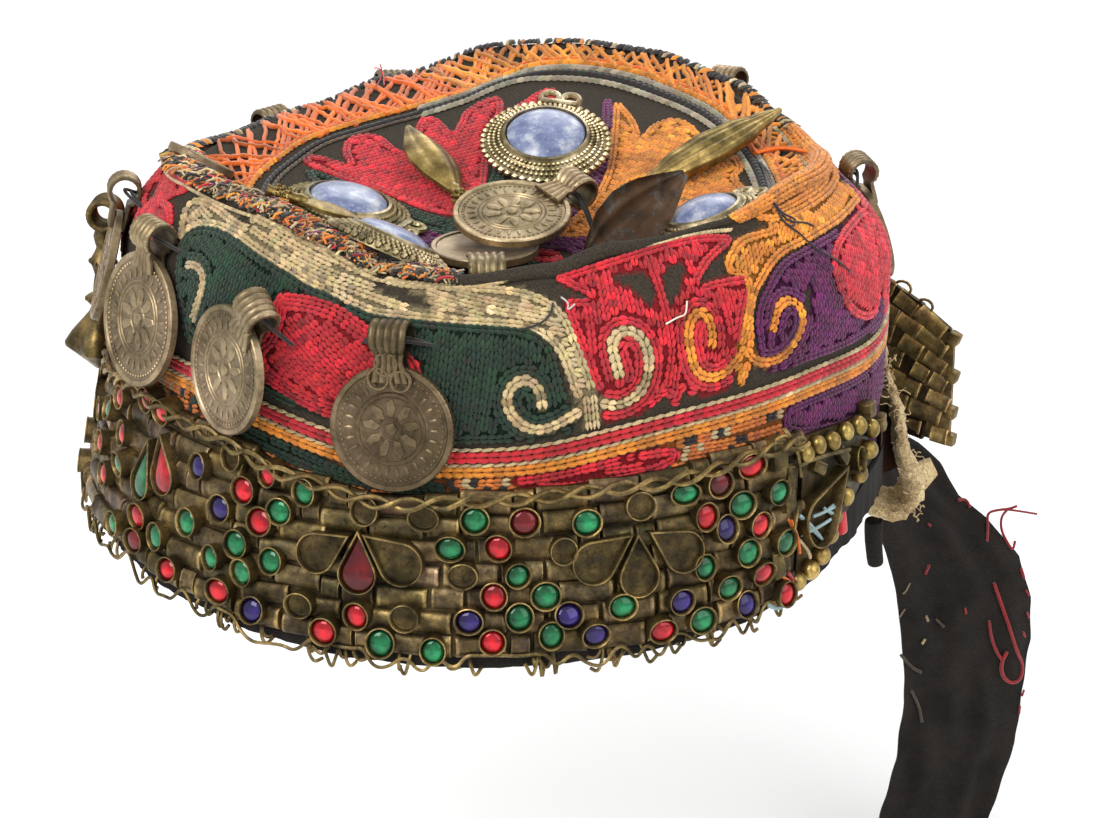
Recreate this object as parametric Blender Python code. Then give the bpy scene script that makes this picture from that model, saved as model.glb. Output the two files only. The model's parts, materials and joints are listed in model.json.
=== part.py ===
"""An embroidered cap with a sunken crown, a woven brass link band set with glass, coins, stone medallions, leaf
drops and a black cloth tail.

Metres, +Z up. The origin is the centre of the head opening at the brow line. Angles run round the cap in degrees:
0 is the front (-Y), 90 the wearer's left-hand side as seen from the front (+X), 180 the back (+Y).
"""

import math

import bmesh
import bpy
from mathutils import Matrix, Vector

MM = 0.001
GAP = 0.3 * MM                    # running gap between pieces that are sewn or pressed together

# The cap: a felted cloth wall, wider at the brow, whose top edge rolls in to the crown seam
CLOTH = 2.4 * MM
SHOULDER = 22.0 * MM              # height over which the wall rolls in to the seam
SHOULDER_ROLL = 1.8               # how late the roll turns in, as a power
SEAM_RADIUS = 78.5 * MM
WALL_STEPS = 40
# angle, height of the hem's lower edge, of the band's lower edge and of the band's upper edge, in millimetres
BROW_TABLE = (
    (-180, 7.0, 10.0, 44.0), (-120, 7.0, 10.0, 43.0), (-95, 7.0, 9.5, 38.0), (-78, 6.5, 8.5, 40.0),
    (-62, 5.0, 7.0, 44.0), (-42, 1.8, 4.0, 43.0), (-28, -0.8, 1.6, 37.5), (-15, -2.4, 0.0, 35.0),
    (0, -3.2, -0.6, 37.0), (20, -2.8, 0.0, 38.8), (36, -1.6, 0.8, 41.0), (48, 1.0, 3.4, 39.5),
    (60, 5.5, 9.0, 38.0), (70, 8.5, 12.0, 37.5), (100, 9.0, 12.0, 42.0), (180, 7.0, 10.0, 44.0),
)
# height, sideways shift of the centre and radius of the wall, in millimetres
WALL_SECTIONS = ((-10.0, -4.4, 99.3), (0.0, -3.0, 98.0), (40.0, 2.6, 92.8), (65.0, 3.1, 92.8), (90.0, 0.5, 92.8))
# angle in degrees and height of the crown seam in millimetres
SEAM_HEIGHTS = (
    (-180, 97.0), (-160, 90.0), (-140, 84.5), (-120, 82.5), (-100, 84.5), (-80, 88.5), (-60, 90.5), (-40, 89.5),
    (-28, 85.0), (-18, 79.5), (-5, 78.5), (8, 80.5), (20, 84.5), (40, 86.5), (60, 89.0), (80, 87.0), (100, 84.5),
    (115, 88.0), (130, 93.5), (150, 97.5), (165, 98.5), (180, 97.5),
)

# The crown: a floor that slopes up to the back, with a ring round it that climbs to the seam
CROWN_FLOOR = 80.0 * MM
CROWN_SLOPE = 0.18
CROWN_RING = 64.0 * MM            # radius where the ring starts to climb
CROWN_EDGE = 75.0 * MM
CROWN_CLOTH = 2.0 * MM
CROWN_CENTRE_X = 0.5 * MM
CROWN_STEPS = 30

# The black brow hem, which shows below the link band
HEM_CLOTH = 1.0 * MM
HEM_HEIGHT = 10.0 * MM
HEM_OVER_WALL = 1.5 * MM          # how far the hem reaches below the wall's own edge

# The woven link band
BAND_THICK = 2.2 * MM
BAND_INSET = (1.7 * MM, 0.7 * MM)  # how far the band's back stands off the wall, at its bottom and its top
BAND_START = -150.0
BAND_END = 45.5
BAND_ROWS = 6
LINK_LENGTH = 12.4 * MM
UNIT_LINKS = 5                    # links in one repeat of the pattern
BAND_RADIUS = 96.0 * MM           # radius that turns lengths along the band into angles
SETTING_RADIUS = 3.1 * MM
SETTING_PROUD = 1.5 * MM
SETTING_SIDES = 10
# The round settings of one repeat: share of the band's height, then places in links past the flower
SETTING_ROWS = (
    (0.84, 0.2, 2.2, 3.1, 4.15),
    (0.67, 1.75, 2.65),
    (0.51, 1.95, 2.9),
    (0.37, 2.45, 3.4),
    (0.23, 0.0, 2.0),
    (0.10, 0.8, 2.5, 3.5),
)
# The flower of three drop settings: place in links, share of the band's height, turn in degrees
FLOWER_TABLE = ((-0.6, 0.62, 62.0), (0.0, 0.56, 0.0), (0.6, 0.62, -62.0))
FLOWER_ANGLE = -15.6              # angle round the cap of one flower; the others lie whole repeats from it
PLAIN_BEFORE = -68.0              # the stretch before this angle has flowers only
DROP_LENGTH = 13.0 * MM
DROP_WIDTH = 8.4 * MM

# The band's loose end, which leaves the wall at the back and runs straight out to the side
BACK_MEET_GAP = 0.4
BACK_LEAVES = 150.0
# distance past the leaving point, height of the lower and of the upper edge, in millimetres
LOOSE_SECTIONS = ((0, 7, 43), (30, 5, 44), (55, 3, 43), (65, 1, 40), (75, -2, 34), (85, -5, 27))

# The end piece of the front band, edged with beads
CLASP_START = 46.2
CLASP_END = 65.0
CLASP_RISE = 12.0 * MM            # how far its lower edge climbs towards its end
CLASP_PLATE = 1.8 * MM
BEAD_RADIUS = 2.4 * MM

# The twisted wire that edges the band
WIRE_RADIUS = 1.0 * MM
WIRE_ABOVE_BAND = 2.2 * MM
WIRE_POINTS = 32

# Coins: diameter and thickness, and the bail strip that each hangs by
COIN_THICK = 2.0 * MM
BAIL_RADIUS = 4.2 * MM
BAIL_WALL = 1.1 * MM
BAIL_WIDTH = 9.0 * MM
COIN_SIDES = 18
# name, angle, height of the bail, coin diameter, lean in, swing sideways, twist about the upright, extra
# stand-off, and clear space between the bail and the coin
WALL_COINS = (
    ("coin_left", -57, 79.0, 31.0, -10, 5, 3, 0.0, 0.2),
    ("coin_left_side", -80, 80.0, 27.0, -16, -4, 0, 0.0, 1.0),
    ("coin_front_left", -32, 70.5, 29.0, -8, 34, -26, 3.6, 0.2),
    ("coin_front", -14.5, 67.5, 28.0, -7.2, -2, 0, 0.3, 1.6),
    ("coin_back_a", -136, 77.0, 28.0, -17, 3, 0, 0.0, 0.5),
    ("coin_back_b", -160, 82.5, 25.0, -17, -4, 0, 0.0, 0.5),
    ("coin_back_c", 138, 87.5, 28.0, -19, 4, 0, 0.0, 0.5),
    ("coin_side_right", 103, 75.5, 25.0, -16, -5, 0, 0.0, 0.5),
)
# Coins that lie on the crown: name, x, y, z, diameter, direction of the bail, pitch up of the far side and
# roll down of the right-hand side
CROWN_COINS = (
    ("coin_crown", 4.7, -33.5, 81.9, 27.5, -52, 16, 0),
    ("coin_crown_plain", -1.5, -41.5, 75.8, 25.0, 183, 2, 0),
    ("coin_rim", -70.3, -5.5, 87.5, 17.0, 178, -15, 27),
)
CROWN_COIN_HANG = 0.6 * MM

# Medallions: a stepped silver setting with a domed stone
MEDAL_RADIUS = 16.0 * MM
MEDAL_SIDES = 20
STONE_RADIUS = 9.7 * MM
# name, x, y, z, size, direction of the loops, pitch up of the far side, roll down of the right-hand side
MEDALS = (
    ("medallion_back", 12.5, 11.1, 88.5, 1.0, -12, 24, 0),
    ("medallion_left", -34.0, -24.5, 81.4, 0.95, -110, 5, 12),
    ("medallion_front", -22.0, -57.0, 81.5, 0.92, 30, -14, 24),
    ("medallion_right", 49.5, -34.5, 81.4, 0.82, -50, 2, -18),
)

# Pressed leaf drops: name, foot x, y, z, tip x, y, z, width, depth, turn about its length in degrees
LEAF_DROPS = (
    ("leaf_left", -6.0, -17.0, 78.8, -21.5, 16.0, 90.5, 13.0, 3.4, 12),
    ("leaf_right", 30.0, -11.5, 79.8, 71.0, 24.0, 93.0, 10.5, 2.6, 20),
    ("leaf_front", 16.5, -52.5, 72.6, 44.5, -32.0, 91.0, 15.0, 3.0, 236),
    ("leaf_rim", -50.7, -46.1, 90.8, -30.0, -44.6, 83.9, 10.0, 1.6, -8),
)
LEAF_SHEET = 0.8 * MM

# The brass bud that hangs at the left
BUD_ANGLE = -92.0
BUD_BAIL_HEIGHT = 74.0 * MM
BUD_WIDEST_HEIGHT = 40.0 * MM
BUD_STANDOFF = 10.3 * MM          # of the bell; the loop hangs closer, by the lean
BUD_LEAN = 5.5
# distance below the loop's centre, radius, and how square the ring is, in millimetres
BUD_RINGS = ((3.2, 1.9, 0.0), (6, 2.6, 0.0), (9, 1.8, 0.0), (12.5, 3.3, 0.0), (16, 1.9, 0.0), (21, 2.4, 0.0),
             (22.5, 3.6, 0.0), (25, 2.6, 0.1), (34, 6.0, 0.5), (38.5, 0.9, 0.6))

# The rolled raw edge of the cotton lining that hangs out at the right: x and z in millimetres
COTTON_PATH = ((98.3, 42), (98.7, 31), (100.2, 21.7), (101.8, 13.8), (104.4, 7.1), (105.2, 1.8), (102.6, -3.6),
               (97.6, -5.4), (93.4, -3.4))
COTTON_NEAR = -10.0 * MM
COTTON_FAR = 6.0 * MM
COTTON_THICK = 4.2 * MM

# The black cloth tail: height, left edge x and y, right edge x and y, in millimetres
TAIL_SECTIONS = (
    (15, 93.6, 31.0, 81.7, 55.5),
    (2, 98.0, 30.0, 92.0, 55.0),
    (-8, 98.5, 27.0, 107.0, 51.0),
    (-19, 100.2, 28.0, 124.0, 46.0),
    (-35, 105.0, 30.0, 139.0, 43.0),
    (-47, 107.5, 32.0, 144.0, 42.0),
    (-60, 109.0, 33.0, 145.0, 42.0),
    (-75, 110.0, 34.0, 144.0, 43.0),
    (-92, 108.8, 35.0, 141.5, 44.0),
    (-108, 106.0, 36.0, 135.5, 45.0),
    (-124, 103.5, 37.0, 131.5, 46.0),
)
TAIL_THICK = 1.4 * MM
TAIL_FOLDS = 2.5                  # waves across the tail's width
TAIL_FOLD_DEPTH = 2.2 * MM
TAIL_POINTS = 8

# A short black cloth tie end below the cotton
TIE_PATH = ((97.6, 0.0, -7.9), (98.2, 1.0, -14.0), (100.0, 2.0, -21.0))
TIE_RADIUS = 2.4 * MM

COLOURS = {
    "embroidered_cloth": ((0.55, 0.07, 0.08), 0.9, 0.0),
    "crown_cloth": ((0.78, 0.30, 0.06), 0.9, 0.0),
    "black_cloth": ((0.025, 0.023, 0.024), 0.85, 0.0),
    "aged_brass": ((0.28, 0.20, 0.09), 0.45, 0.9),
    "nickel": ((0.48, 0.43, 0.36), 0.35, 0.9),
    "lapis": ((0.16, 0.22, 0.52), 0.3, 0.0),
    "raw_cotton": ((0.62, 0.47, 0.30), 0.95, 0.0),
}


def clear_scene():
    for obj in list(bpy.data.objects):
        bpy.data.objects.remove(obj, do_unlink=True)


def material(name):
    found = bpy.data.materials.get(name)
    if found:
        return found
    colour, roughness, metallic = COLOURS[name]
    made = bpy.data.materials.new(name)
    made.use_nodes = True
    shader = made.node_tree.nodes["Principled BSDF"]
    shader.inputs["Base Color"].default_value = (*colour, 1.0)
    shader.inputs["Roughness"].default_value = roughness
    shader.inputs["Metallic"].default_value = metallic
    return made


def add_object(name, mesh, material_name=None, place=None):
    obj = bpy.data.objects.new(name, mesh)
    bpy.context.scene.collection.objects.link(obj)
    if material_name:
        mesh.materials.clear()
        mesh.materials.append(material(material_name))
    if place is not None:
        obj.matrix_world = place
    return obj


def loft(name, sections, closed=False):
    """A closed mesh through sections, each a loop of the same number of points. A closed loft joins its ends."""
    count = len(sections[0])
    points = [p for section in sections for p in section]
    faces = []
    steps = len(sections) if closed else len(sections) - 1
    for i in range(steps):
        a, b = i * count, ((i + 1) % len(sections)) * count
        for k in range(count):
            n = (k + 1) % count
            faces.append((a + k, a + n, b + n, b + k))
    if not closed:
        faces.append(tuple(reversed(range(count))))
        faces.append(tuple(range((len(sections) - 1) * count, len(sections) * count)))
    mesh = bpy.data.meshes.new(name)
    mesh.from_pydata([tuple(p) for p in points], [], faces)
    tidy_normals(mesh)
    return mesh


def tidy_normals(mesh):
    work = bmesh.new()
    work.from_mesh(mesh)
    bmesh.ops.recalc_face_normals(work, faces=work.faces)
    if work.calc_volume(signed=True) < 0:
        bmesh.ops.reverse_faces(work, faces=work.faces)
    work.to_mesh(mesh)
    work.free()
    mesh.shade_smooth()
    mesh.set_sharp_from_angle(angle=math.radians(35))


def fuse(name, base, others):
    """One mesh from a base mesh and others that overlap it, joined by Boolean unions."""
    base_object = add_object(name + "_base", base)
    helpers = []
    for i, other in enumerate(others):
        helper = add_object(f"{name}_join_{i}", other)
        helpers.append(helper)
        modifier = base_object.modifiers.new(f"join_{i}", "BOOLEAN")
        modifier.operation = "UNION"
        modifier.object = helper
        modifier.solver = "EXACT"
        modifier.use_self = True
    graph = bpy.context.evaluated_depsgraph_get()
    joined = bpy.data.meshes.new_from_object(base_object.evaluated_get(graph))
    joined.name = name
    for obj in [base_object, *helpers]:
        bpy.data.objects.remove(obj, do_unlink=True)
    joined.shade_smooth()
    joined.set_sharp_from_angle(angle=math.radians(35))
    return joined


def merged(name, meshes):
    """Several separate shells in one mesh, for use as the other side of a union."""
    work = bmesh.new()
    for mesh in meshes:
        work.from_mesh(mesh)
    made = bpy.data.meshes.new(name)
    work.to_mesh(made)
    work.free()
    return made


def ring_points(radius, sides, height=0.0, turn=0.0):
    step = 2 * math.pi / sides
    return [Vector((radius * math.cos(turn + i * step), radius * math.sin(turn + i * step), height))
            for i in range(sides)]


def turned(name, profile, sides):
    """A solid turned about Z through (radius, height) pairs, with flat ends."""
    return loft(name, [ring_points(radius, sides, height) for radius, height in profile])


def box_mesh(name, size, centre):
    half = [s / 2 for s in size]
    corners = ((-1, -1), (1, -1), (1, 1), (-1, 1))
    sections = [
        [Vector((centre[0] + x * half[0], centre[1] + y * half[1], centre[2] + z * half[2])) for x, y in corners]
        for z in (-1, 1)
    ]
    return loft(name, sections)


def moved(mesh, matrix):
    made = mesh.copy()
    made.transform(matrix)
    return made


def between(table, value, column=1):
    """The column's value in a table of rows sorted by their first column, on straight lines between rows."""
    if value <= table[0][0]:
        return table[0][column]
    for low, high in zip(table, table[1:]):
        if value <= high[0]:
            share = (value - low[0]) / (high[0] - low[0])
            return low[column] + share * (high[column] - low[column])
    return table[-1][column]


def eased(table, value, column=1):
    """Like between, with an eased curve from row to row."""
    for low, high in zip(table, table[1:]):
        if value <= high[0]:
            share = (value - low[0]) / (high[0] - low[0])
            share = share * share * (3 - 2 * share)
            return low[column] + share * (high[column] - low[column])
    return table[-1][column]


def seam_height(angle):
    angle = (angle + 180.0) % 360.0 - 180.0
    return eased(SEAM_HEIGHTS, angle) * MM


def brow(angle, column):
    """A height from the brow table: 1 the hem's lower edge, 2 the band's lower edge, 3 its upper edge."""
    return eased(BROW_TABLE, (angle + 180.0) % 360.0 - 180.0, column) * MM


def wall_radius(angle, height):
    knuckle = seam_height(angle) - SHOULDER
    if height <= knuckle:
        return between(WALL_SECTIONS, height / MM, 2) * MM
    share = min(1.0, (height - knuckle) / SHOULDER)
    below = between(WALL_SECTIONS, knuckle / MM, 2) * MM
    return SEAM_RADIUS + (below - SEAM_RADIUS) * (1 - share ** SHOULDER_ROLL)


def wall_frame(angle, height, offset=0.0):
    """A frame on the wall's outer face: X along increasing angle, Y up the wall, Z out of it."""
    a = math.radians(angle)
    step = 0.5 * MM
    slope = (wall_radius(angle, height + step) - wall_radius(angle, height - step)) / (2 * step)
    lean = -math.atan(slope)
    outward = Vector((math.sin(a), -math.cos(a), 0.0))
    along = Vector((math.cos(a), math.sin(a), 0.0))
    up = Vector((0.0, 0.0, 1.0))
    normal = outward * math.cos(lean) + up * math.sin(lean)
    climb = up * math.cos(lean) - outward * math.sin(lean)
    centre_x = between(WALL_SECTIONS, height / MM, 1) * MM
    point = Vector((centre_x, 0.0, height)) + outward * wall_radius(angle, height) + normal * offset
    frame = Matrix((along, climb, normal)).transposed().to_4x4()
    frame.translation = point
    return frame


def wall_point(angle, height, offset=0.0):
    return wall_frame(angle, height, offset).translation


def crown_height(x, y):
    radius = math.hypot(x - CROWN_CENTRE_X, y)
    floor = CROWN_FLOOR + CROWN_SLOPE * y
    if radius <= CROWN_RING:
        return floor
    angle = math.degrees(math.atan2(x - CROWN_CENTRE_X, -y))
    share = (radius - CROWN_RING) / (SEAM_RADIUS - CROWN_RING)
    return floor + (seam_height(angle) - 0.3 * MM - floor) * share ** 1.2


def make_cap_wall():
    sections = []
    for i in range(WALL_STEPS):
        angle = i * 360.0 / WALL_STEPS
        top = seam_height(angle)
        heights = [brow(angle, 1) + HEM_OVER_WALL, 40 * MM, top - SHOULDER, top - 0.5 * SHOULDER, top]
        outer = [wall_point(angle, h) for h in heights]
        inner = [wall_point(angle, h, -CLOTH) for h in reversed(heights)]
        sections.append(outer + inner)
    mesh = loft("cap_wall", sections, closed=True)
    return add_object("cap_wall", mesh, "embroidered_cloth")


def make_crown():
    """The dished disc of the crown, top and underside alike."""
    radii = [40 * MM, CROWN_RING, 70 * MM, CROWN_EDGE]
    vertices = []
    faces = []
    for lift in (0.0, -CROWN_CLOTH):
        start = len(vertices)
        vertices.append((CROWN_CENTRE_X, 0.0, crown_height(CROWN_CENTRE_X, 0.0) + lift))
        for radius in radii:
            for k in range(CROWN_STEPS):
                a = 2 * math.pi * k / CROWN_STEPS
                x, y = CROWN_CENTRE_X + radius * math.sin(a), -radius * math.cos(a)
                vertices.append((x, y, crown_height(x, y) + lift))
        for k in range(CROWN_STEPS):
            n = (k + 1) % CROWN_STEPS
            faces.append((start, start + 1 + k, start + 1 + n))
            for ring in range(len(radii) - 1):
                a = start + 1 + ring * CROWN_STEPS
                b = a + CROWN_STEPS
                faces.append((a + k, b + k, b + n, a + n))
    outer_top = 1 + (len(radii) - 1) * CROWN_STEPS
    outer_low = outer_top + 1 + len(radii) * CROWN_STEPS
    for k in range(CROWN_STEPS):
        n = (k + 1) % CROWN_STEPS
        faces.append((outer_top + k, outer_low + k, outer_low + n, outer_top + n))
    mesh = bpy.data.meshes.new("crown")
    mesh.from_pydata(vertices, [], faces)
    tidy_normals(mesh)
    return add_object("crown", mesh, "crown_cloth")


def make_hem():
    sections = []
    for i in range(WALL_STEPS):
        angle = i * 360.0 / WALL_STEPS
        low = brow(angle, 1)
        high = low + HEM_HEIGHT
        inner, outer = GAP, GAP + HEM_CLOTH
        sections.append([wall_point(angle, h, o) for h, o in ((low, inner), (low, outer), (high, outer), (high, inner))])
    return add_object("brow_hem", loft("brow_hem", sections, closed=True), "black_cloth")


def band_section(angle):
    """The band's cross-section at an angle round the wall, as four points."""
    low, high = brow(angle, 2), brow(angle, 3)
    inset_low, inset_high = BAND_INSET
    return [
        wall_point(angle, low, inset_low),
        wall_point(angle, low, inset_low + BAND_THICK),
        wall_point(angle, high, inset_high + BAND_THICK),
        wall_point(angle, high, inset_high),
    ]


def band_frame(angle, share):
    """A frame on the band's outer face, at a share of its height."""
    height = brow(angle, 2) + share * (brow(angle, 3) - brow(angle, 2))
    offset = BAND_INSET[0] + (BAND_INSET[1] - BAND_INSET[0]) * share + BAND_THICK
    return wall_frame(angle, height, offset)


def drop_outline(length, width, points=10):
    """A teardrop in the XY plane, its round end down and its point up."""
    radius = width / 2
    centre = -length / 2 + radius
    reach = length - radius
    open_angle = math.acos(radius / reach)
    outline = [Vector((0.0, centre + reach, 0.0))]
    for i in range(points):
        a = math.pi / 2 - open_angle - i * (2 * math.pi - 2 * open_angle) / (points - 1)
        outline.append(Vector((radius * math.cos(a), centre + radius * math.sin(a), 0.0)))
    return outline


def raised(name, outline, low, high):
    """A prism between two heights on a flat outline."""
    return loft(name, [[p + Vector((0, 0, h)) for p in outline] for h in (low, high)])


def band_settings():
    """The round and drop settings of the front band, in whole repeats either way from the first flower."""
    sunk, proud = -0.8 * MM, SETTING_PROUD
    disc = raised("setting", ring_points(SETTING_RADIUS, SETTING_SIDES), sunk, proud)
    drop = raised("drop", drop_outline(DROP_LENGTH, DROP_WIDTH), sunk, proud)
    link_angle = math.degrees(LINK_LENGTH / BAND_RADIUS)
    made = []
    for repeat in range(-4, 3):
        flower = FLOWER_ANGLE + repeat * UNIT_LINKS * link_angle
        for links, share, turn in FLOWER_TABLE:
            angle = flower + links * link_angle
            if BAND_START + 5.0 < angle < BAND_END - 5.0:
                place = band_frame(angle, share)
                made.append(moved(drop, place @ Matrix.Rotation(math.radians(turn), 4, "Z")))
        for share, *places in SETTING_ROWS:
            for links in places:
                angle = flower + links * link_angle
                if PLAIN_BEFORE < angle < BAND_END - 2.5:
                    made.append(moved(disc, band_frame(angle, share)))
    return merged("settings", made)


def make_front_band():
    steps = 46
    angles = [BAND_START + i * (BAND_END - BAND_START) / steps for i in range(steps + 1)]
    base = loft("band", [band_section(a) for a in angles])
    mesh = fuse("link_band_front", base, [band_settings()])
    return add_object("link_band_front", mesh, "aged_brass")


def loose_frame(distance, height):
    """A frame on the outer face of the band's straight loose end."""
    leave = wall_frame(BACK_LEAVES, 3 * MM, BAND_INSET[0] + BAND_THICK)
    forward = -leave.col[0].xyz
    normal = leave.col[2].xyz
    normal = Vector((normal.x, normal.y, 0.0)).normalized()
    point = leave.translation + forward * distance
    point.z = height
    frame = Matrix((-forward, Vector((0, 0, 1)), normal)).transposed().to_4x4()
    frame.translation = point
    return frame


def make_back_band():
    start = BAND_START + 360.0 - BACK_MEET_GAP
    steps = 14
    sections = [band_section(start + i * (BACK_LEAVES + 2.0 - start) / steps) for i in range(steps)]
    for distance, low, high in LOOSE_SECTIONS:
        section = []
        for height, depth in ((low, -BAND_THICK), (low, 0.0), (high, 0.0), (high, -BAND_THICK)):
            frame = loose_frame(distance * MM, height * MM)
            section.append(frame @ Vector((0, 0, depth)))
        sections.append(section)
    base = loft("band", sections)
    disc = raised("setting", ring_points(SETTING_RADIUS, SETTING_SIDES), -0.8 * MM, SETTING_PROUD)
    made = []
    for column in range(5):
        for row in (1 + column % 2, 4 - column % 2):
            made.append(moved(disc, band_frame(start - 8.0 - column * 10.0, (row + 0.5) / BAND_ROWS)))
    for column in range(3):
        made.append(moved(disc, loose_frame((16 + column * 18) * MM, (22 - column * 2) * MM)))
    mesh = fuse("link_band_back", base, [merged("settings", made)])
    return add_object("link_band_back", mesh, "aged_brass")


def make_clasp():
    """The end piece: a plate with a large drop setting, and beads along its top and its far edge."""
    steps = 5
    sections = []
    for i in range(steps + 1):
        share = i / steps
        angle = CLASP_START + share * (CLASP_END - CLASP_START)
        low = brow(angle, 2) + CLASP_RISE * share ** 1.6
        high = brow(angle, 3) - 1.0 * MM
        sections.append([
            wall_point(angle, low, 1.7 * MM),
            wall_point(angle, low, 1.7 * MM + CLASP_PLATE),
            wall_point(angle, high, 0.8 * MM + CLASP_PLATE),
            wall_point(angle, high, 0.8 * MM),
        ])
    plate = loft("plate", sections)
    drop = raised("drop", drop_outline(18 * MM, 12 * MM), -1.5 * MM, 1.6 * MM)
    drop_place = wall_frame(54.5, 22 * MM, 1.4 * MM + CLASP_PLATE) @ Matrix.Rotation(math.radians(-40), 4, "Z")
    bead = turned("bead", [(1.4 * MM, -2.0 * MM), (BEAD_RADIUS, -0.2 * MM), (1.4 * MM, 1.8 * MM)], 10)
    beads = []
    for i in range(6):
        angle = CLASP_START + 2.2 + i * 3.1
        beads.append(wall_frame(angle, brow(angle, 3) - 2.0 * MM, 3.0 * MM))
    for share in (0.3, 0.6):
        angle = CLASP_END - 1.2 - 4.2 * share
        beads.append(wall_frame(angle, brow(angle, 3) - (3.0 + 20 * share) * MM, 3.0 * MM))
    others = [moved(drop, drop_place), merged("beads", [moved(bead, place) for place in beads])]
    return add_object("clasp_end", fuse("clasp_end", plate, others), "aged_brass")


def make_edge_wire():
    """The twisted wire along the top of the front band, as a tube over its whole thickness."""
    curve = bpy.data.curves.new("edge_wire", "CURVE")
    curve.dimensions = "3D"
    curve.bevel_depth = WIRE_RADIUS
    curve.bevel_resolution = 1
    curve.use_fill_caps = True
    spline = curve.splines.new("POLY")
    spline.points.add(WIRE_POINTS - 1)
    for i, point in enumerate(spline.points):
        angle = BAND_START + 1.0 + i * (BAND_END - BAND_START - 2.0) / (WIRE_POINTS - 1)
        place = wall_point(angle, brow(angle, 3) + WIRE_ABOVE_BAND, 1.9 * MM)
        point.co = (*place, 1.0)
    obj = bpy.data.objects.new("edge_wire", curve)
    bpy.context.scene.collection.objects.link(obj)
    curve.materials.append(material("aged_brass"))
    return obj


def coin_mesh(diameter, hang):
    """A coin in the XY plane with its bail above it. The origin is the bail's axis, which runs along X."""
    radius = diameter / 2 * MM
    drop = radius + BAIL_RADIUS + hang
    disc = turned("disc", [(radius, -COIN_THICK / 2), (radius, COIN_THICK / 2)], COIN_SIDES)
    disc = moved(disc, Matrix.Translation((0, -drop, 0)))
    sides = 10
    outer = ring_points(BAIL_RADIUS, sides)
    inner = ring_points(BAIL_RADIUS - BAIL_WALL, sides)
    sections = [
        [Vector((-BAIL_WIDTH / 2, a.x, a.y)), Vector((BAIL_WIDTH / 2, a.x, a.y)),
         Vector((BAIL_WIDTH / 2, b.x, b.y)), Vector((-BAIL_WIDTH / 2, b.x, b.y))]
        for a, b in zip(outer, inner)
    ]
    bail = loft("bail", sections, closed=True)
    leg = box_mesh("leg", (6.4 * MM, hang + 5.4 * MM, 2.8 * MM), (0, -BAIL_RADIUS - hang / 2 - 1.2 * MM, 0))
    return fuse("coin", disc, [bail, leg])


def spin(degrees, axis):
    return Matrix.Rotation(math.radians(degrees), 4, axis)


def make_wall_coins():
    for name, angle, height, diameter, lean, swing, twist, standoff, hang in WALL_COINS:
        place = wall_frame(angle, height * MM)
        upright = Matrix((place.col[0].xyz, Vector((0, 0, 1)), place.col[0].xyz.cross(Vector((0, 0, 1)))))
        frame = upright.transposed().to_4x4()
        frame.translation = place @ Vector((0, 0, BAIL_RADIUS + GAP + standoff * MM))
        frame = frame @ spin(twist, "Y") @ spin(-swing, "Z") @ spin(lean, "X")
        add_object(name, coin_mesh(diameter, hang * MM), "nickel", frame)


def crown_frame(centre, heading, pitch, roll):
    """A frame over the crown: its Y points along heading (0 is the back, 90 is left) before pitch and roll."""
    return Matrix.Translation(Vector(centre) * MM) @ spin(roll, "Y") @ spin(pitch, "X") @ spin(heading, "Z")


def make_crown_coins():
    for name, x, y, z, diameter, heading, pitch, roll in CROWN_COINS:
        drop = diameter / 2 * MM + BAIL_RADIUS + CROWN_COIN_HANG
        frame = crown_frame((x, y, z), heading, pitch, roll) @ Matrix.Translation((0, drop, 0))
        add_object(name, coin_mesh(diameter, CROWN_COIN_HANG), "nickel", frame)


def medal_meshes(size):
    """A medallion's setting, with its two loops, and the domed stone that sits in its cup."""
    r = MEDAL_RADIUS * size
    s = STONE_RADIUS * size
    profile = [(r, 0.0), (r, 1.8 * MM), (s + 1.4 * MM, 4.2 * MM), (s + GAP, 4.2 * MM), (s + GAP, 2.0 * MM)]
    body = turned("setting", profile, MEDAL_SIDES)
    sides = 10
    loops = []
    for side in (-1, 1):
        sections = []
        for a, b in zip(ring_points(3.0 * MM, sides), ring_points(1.4 * MM, sides)):
            shift = Vector((side * 2.6 * MM, r + 1.4 * MM, 0))
            middle = (a + b) / 2 + Vector((0, 0, 1.7 * MM))
            sections.append([a + shift, b + shift, middle + shift])
        loops.append(loft("loop", sections, closed=True))
    setting = fuse("setting", body, loops)
    stone = turned("stone", [(s, 2.3 * MM), (s, 3.9 * MM), (0.72 * s, 5.4 * MM), (0.3 * s, 5.9 * MM)], 12)
    return setting, stone


def make_medallions():
    for name, x, y, z, size, heading, pitch, roll in MEDALS:
        setting, stone = medal_meshes(size)
        frame = crown_frame((x, y, z), heading, pitch, roll) @ Matrix.Translation((0, 0, -2.0 * MM))
        add_object(name, setting, "nickel", frame)
        add_object(name + "_stone", stone, "lapis", frame)


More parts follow.
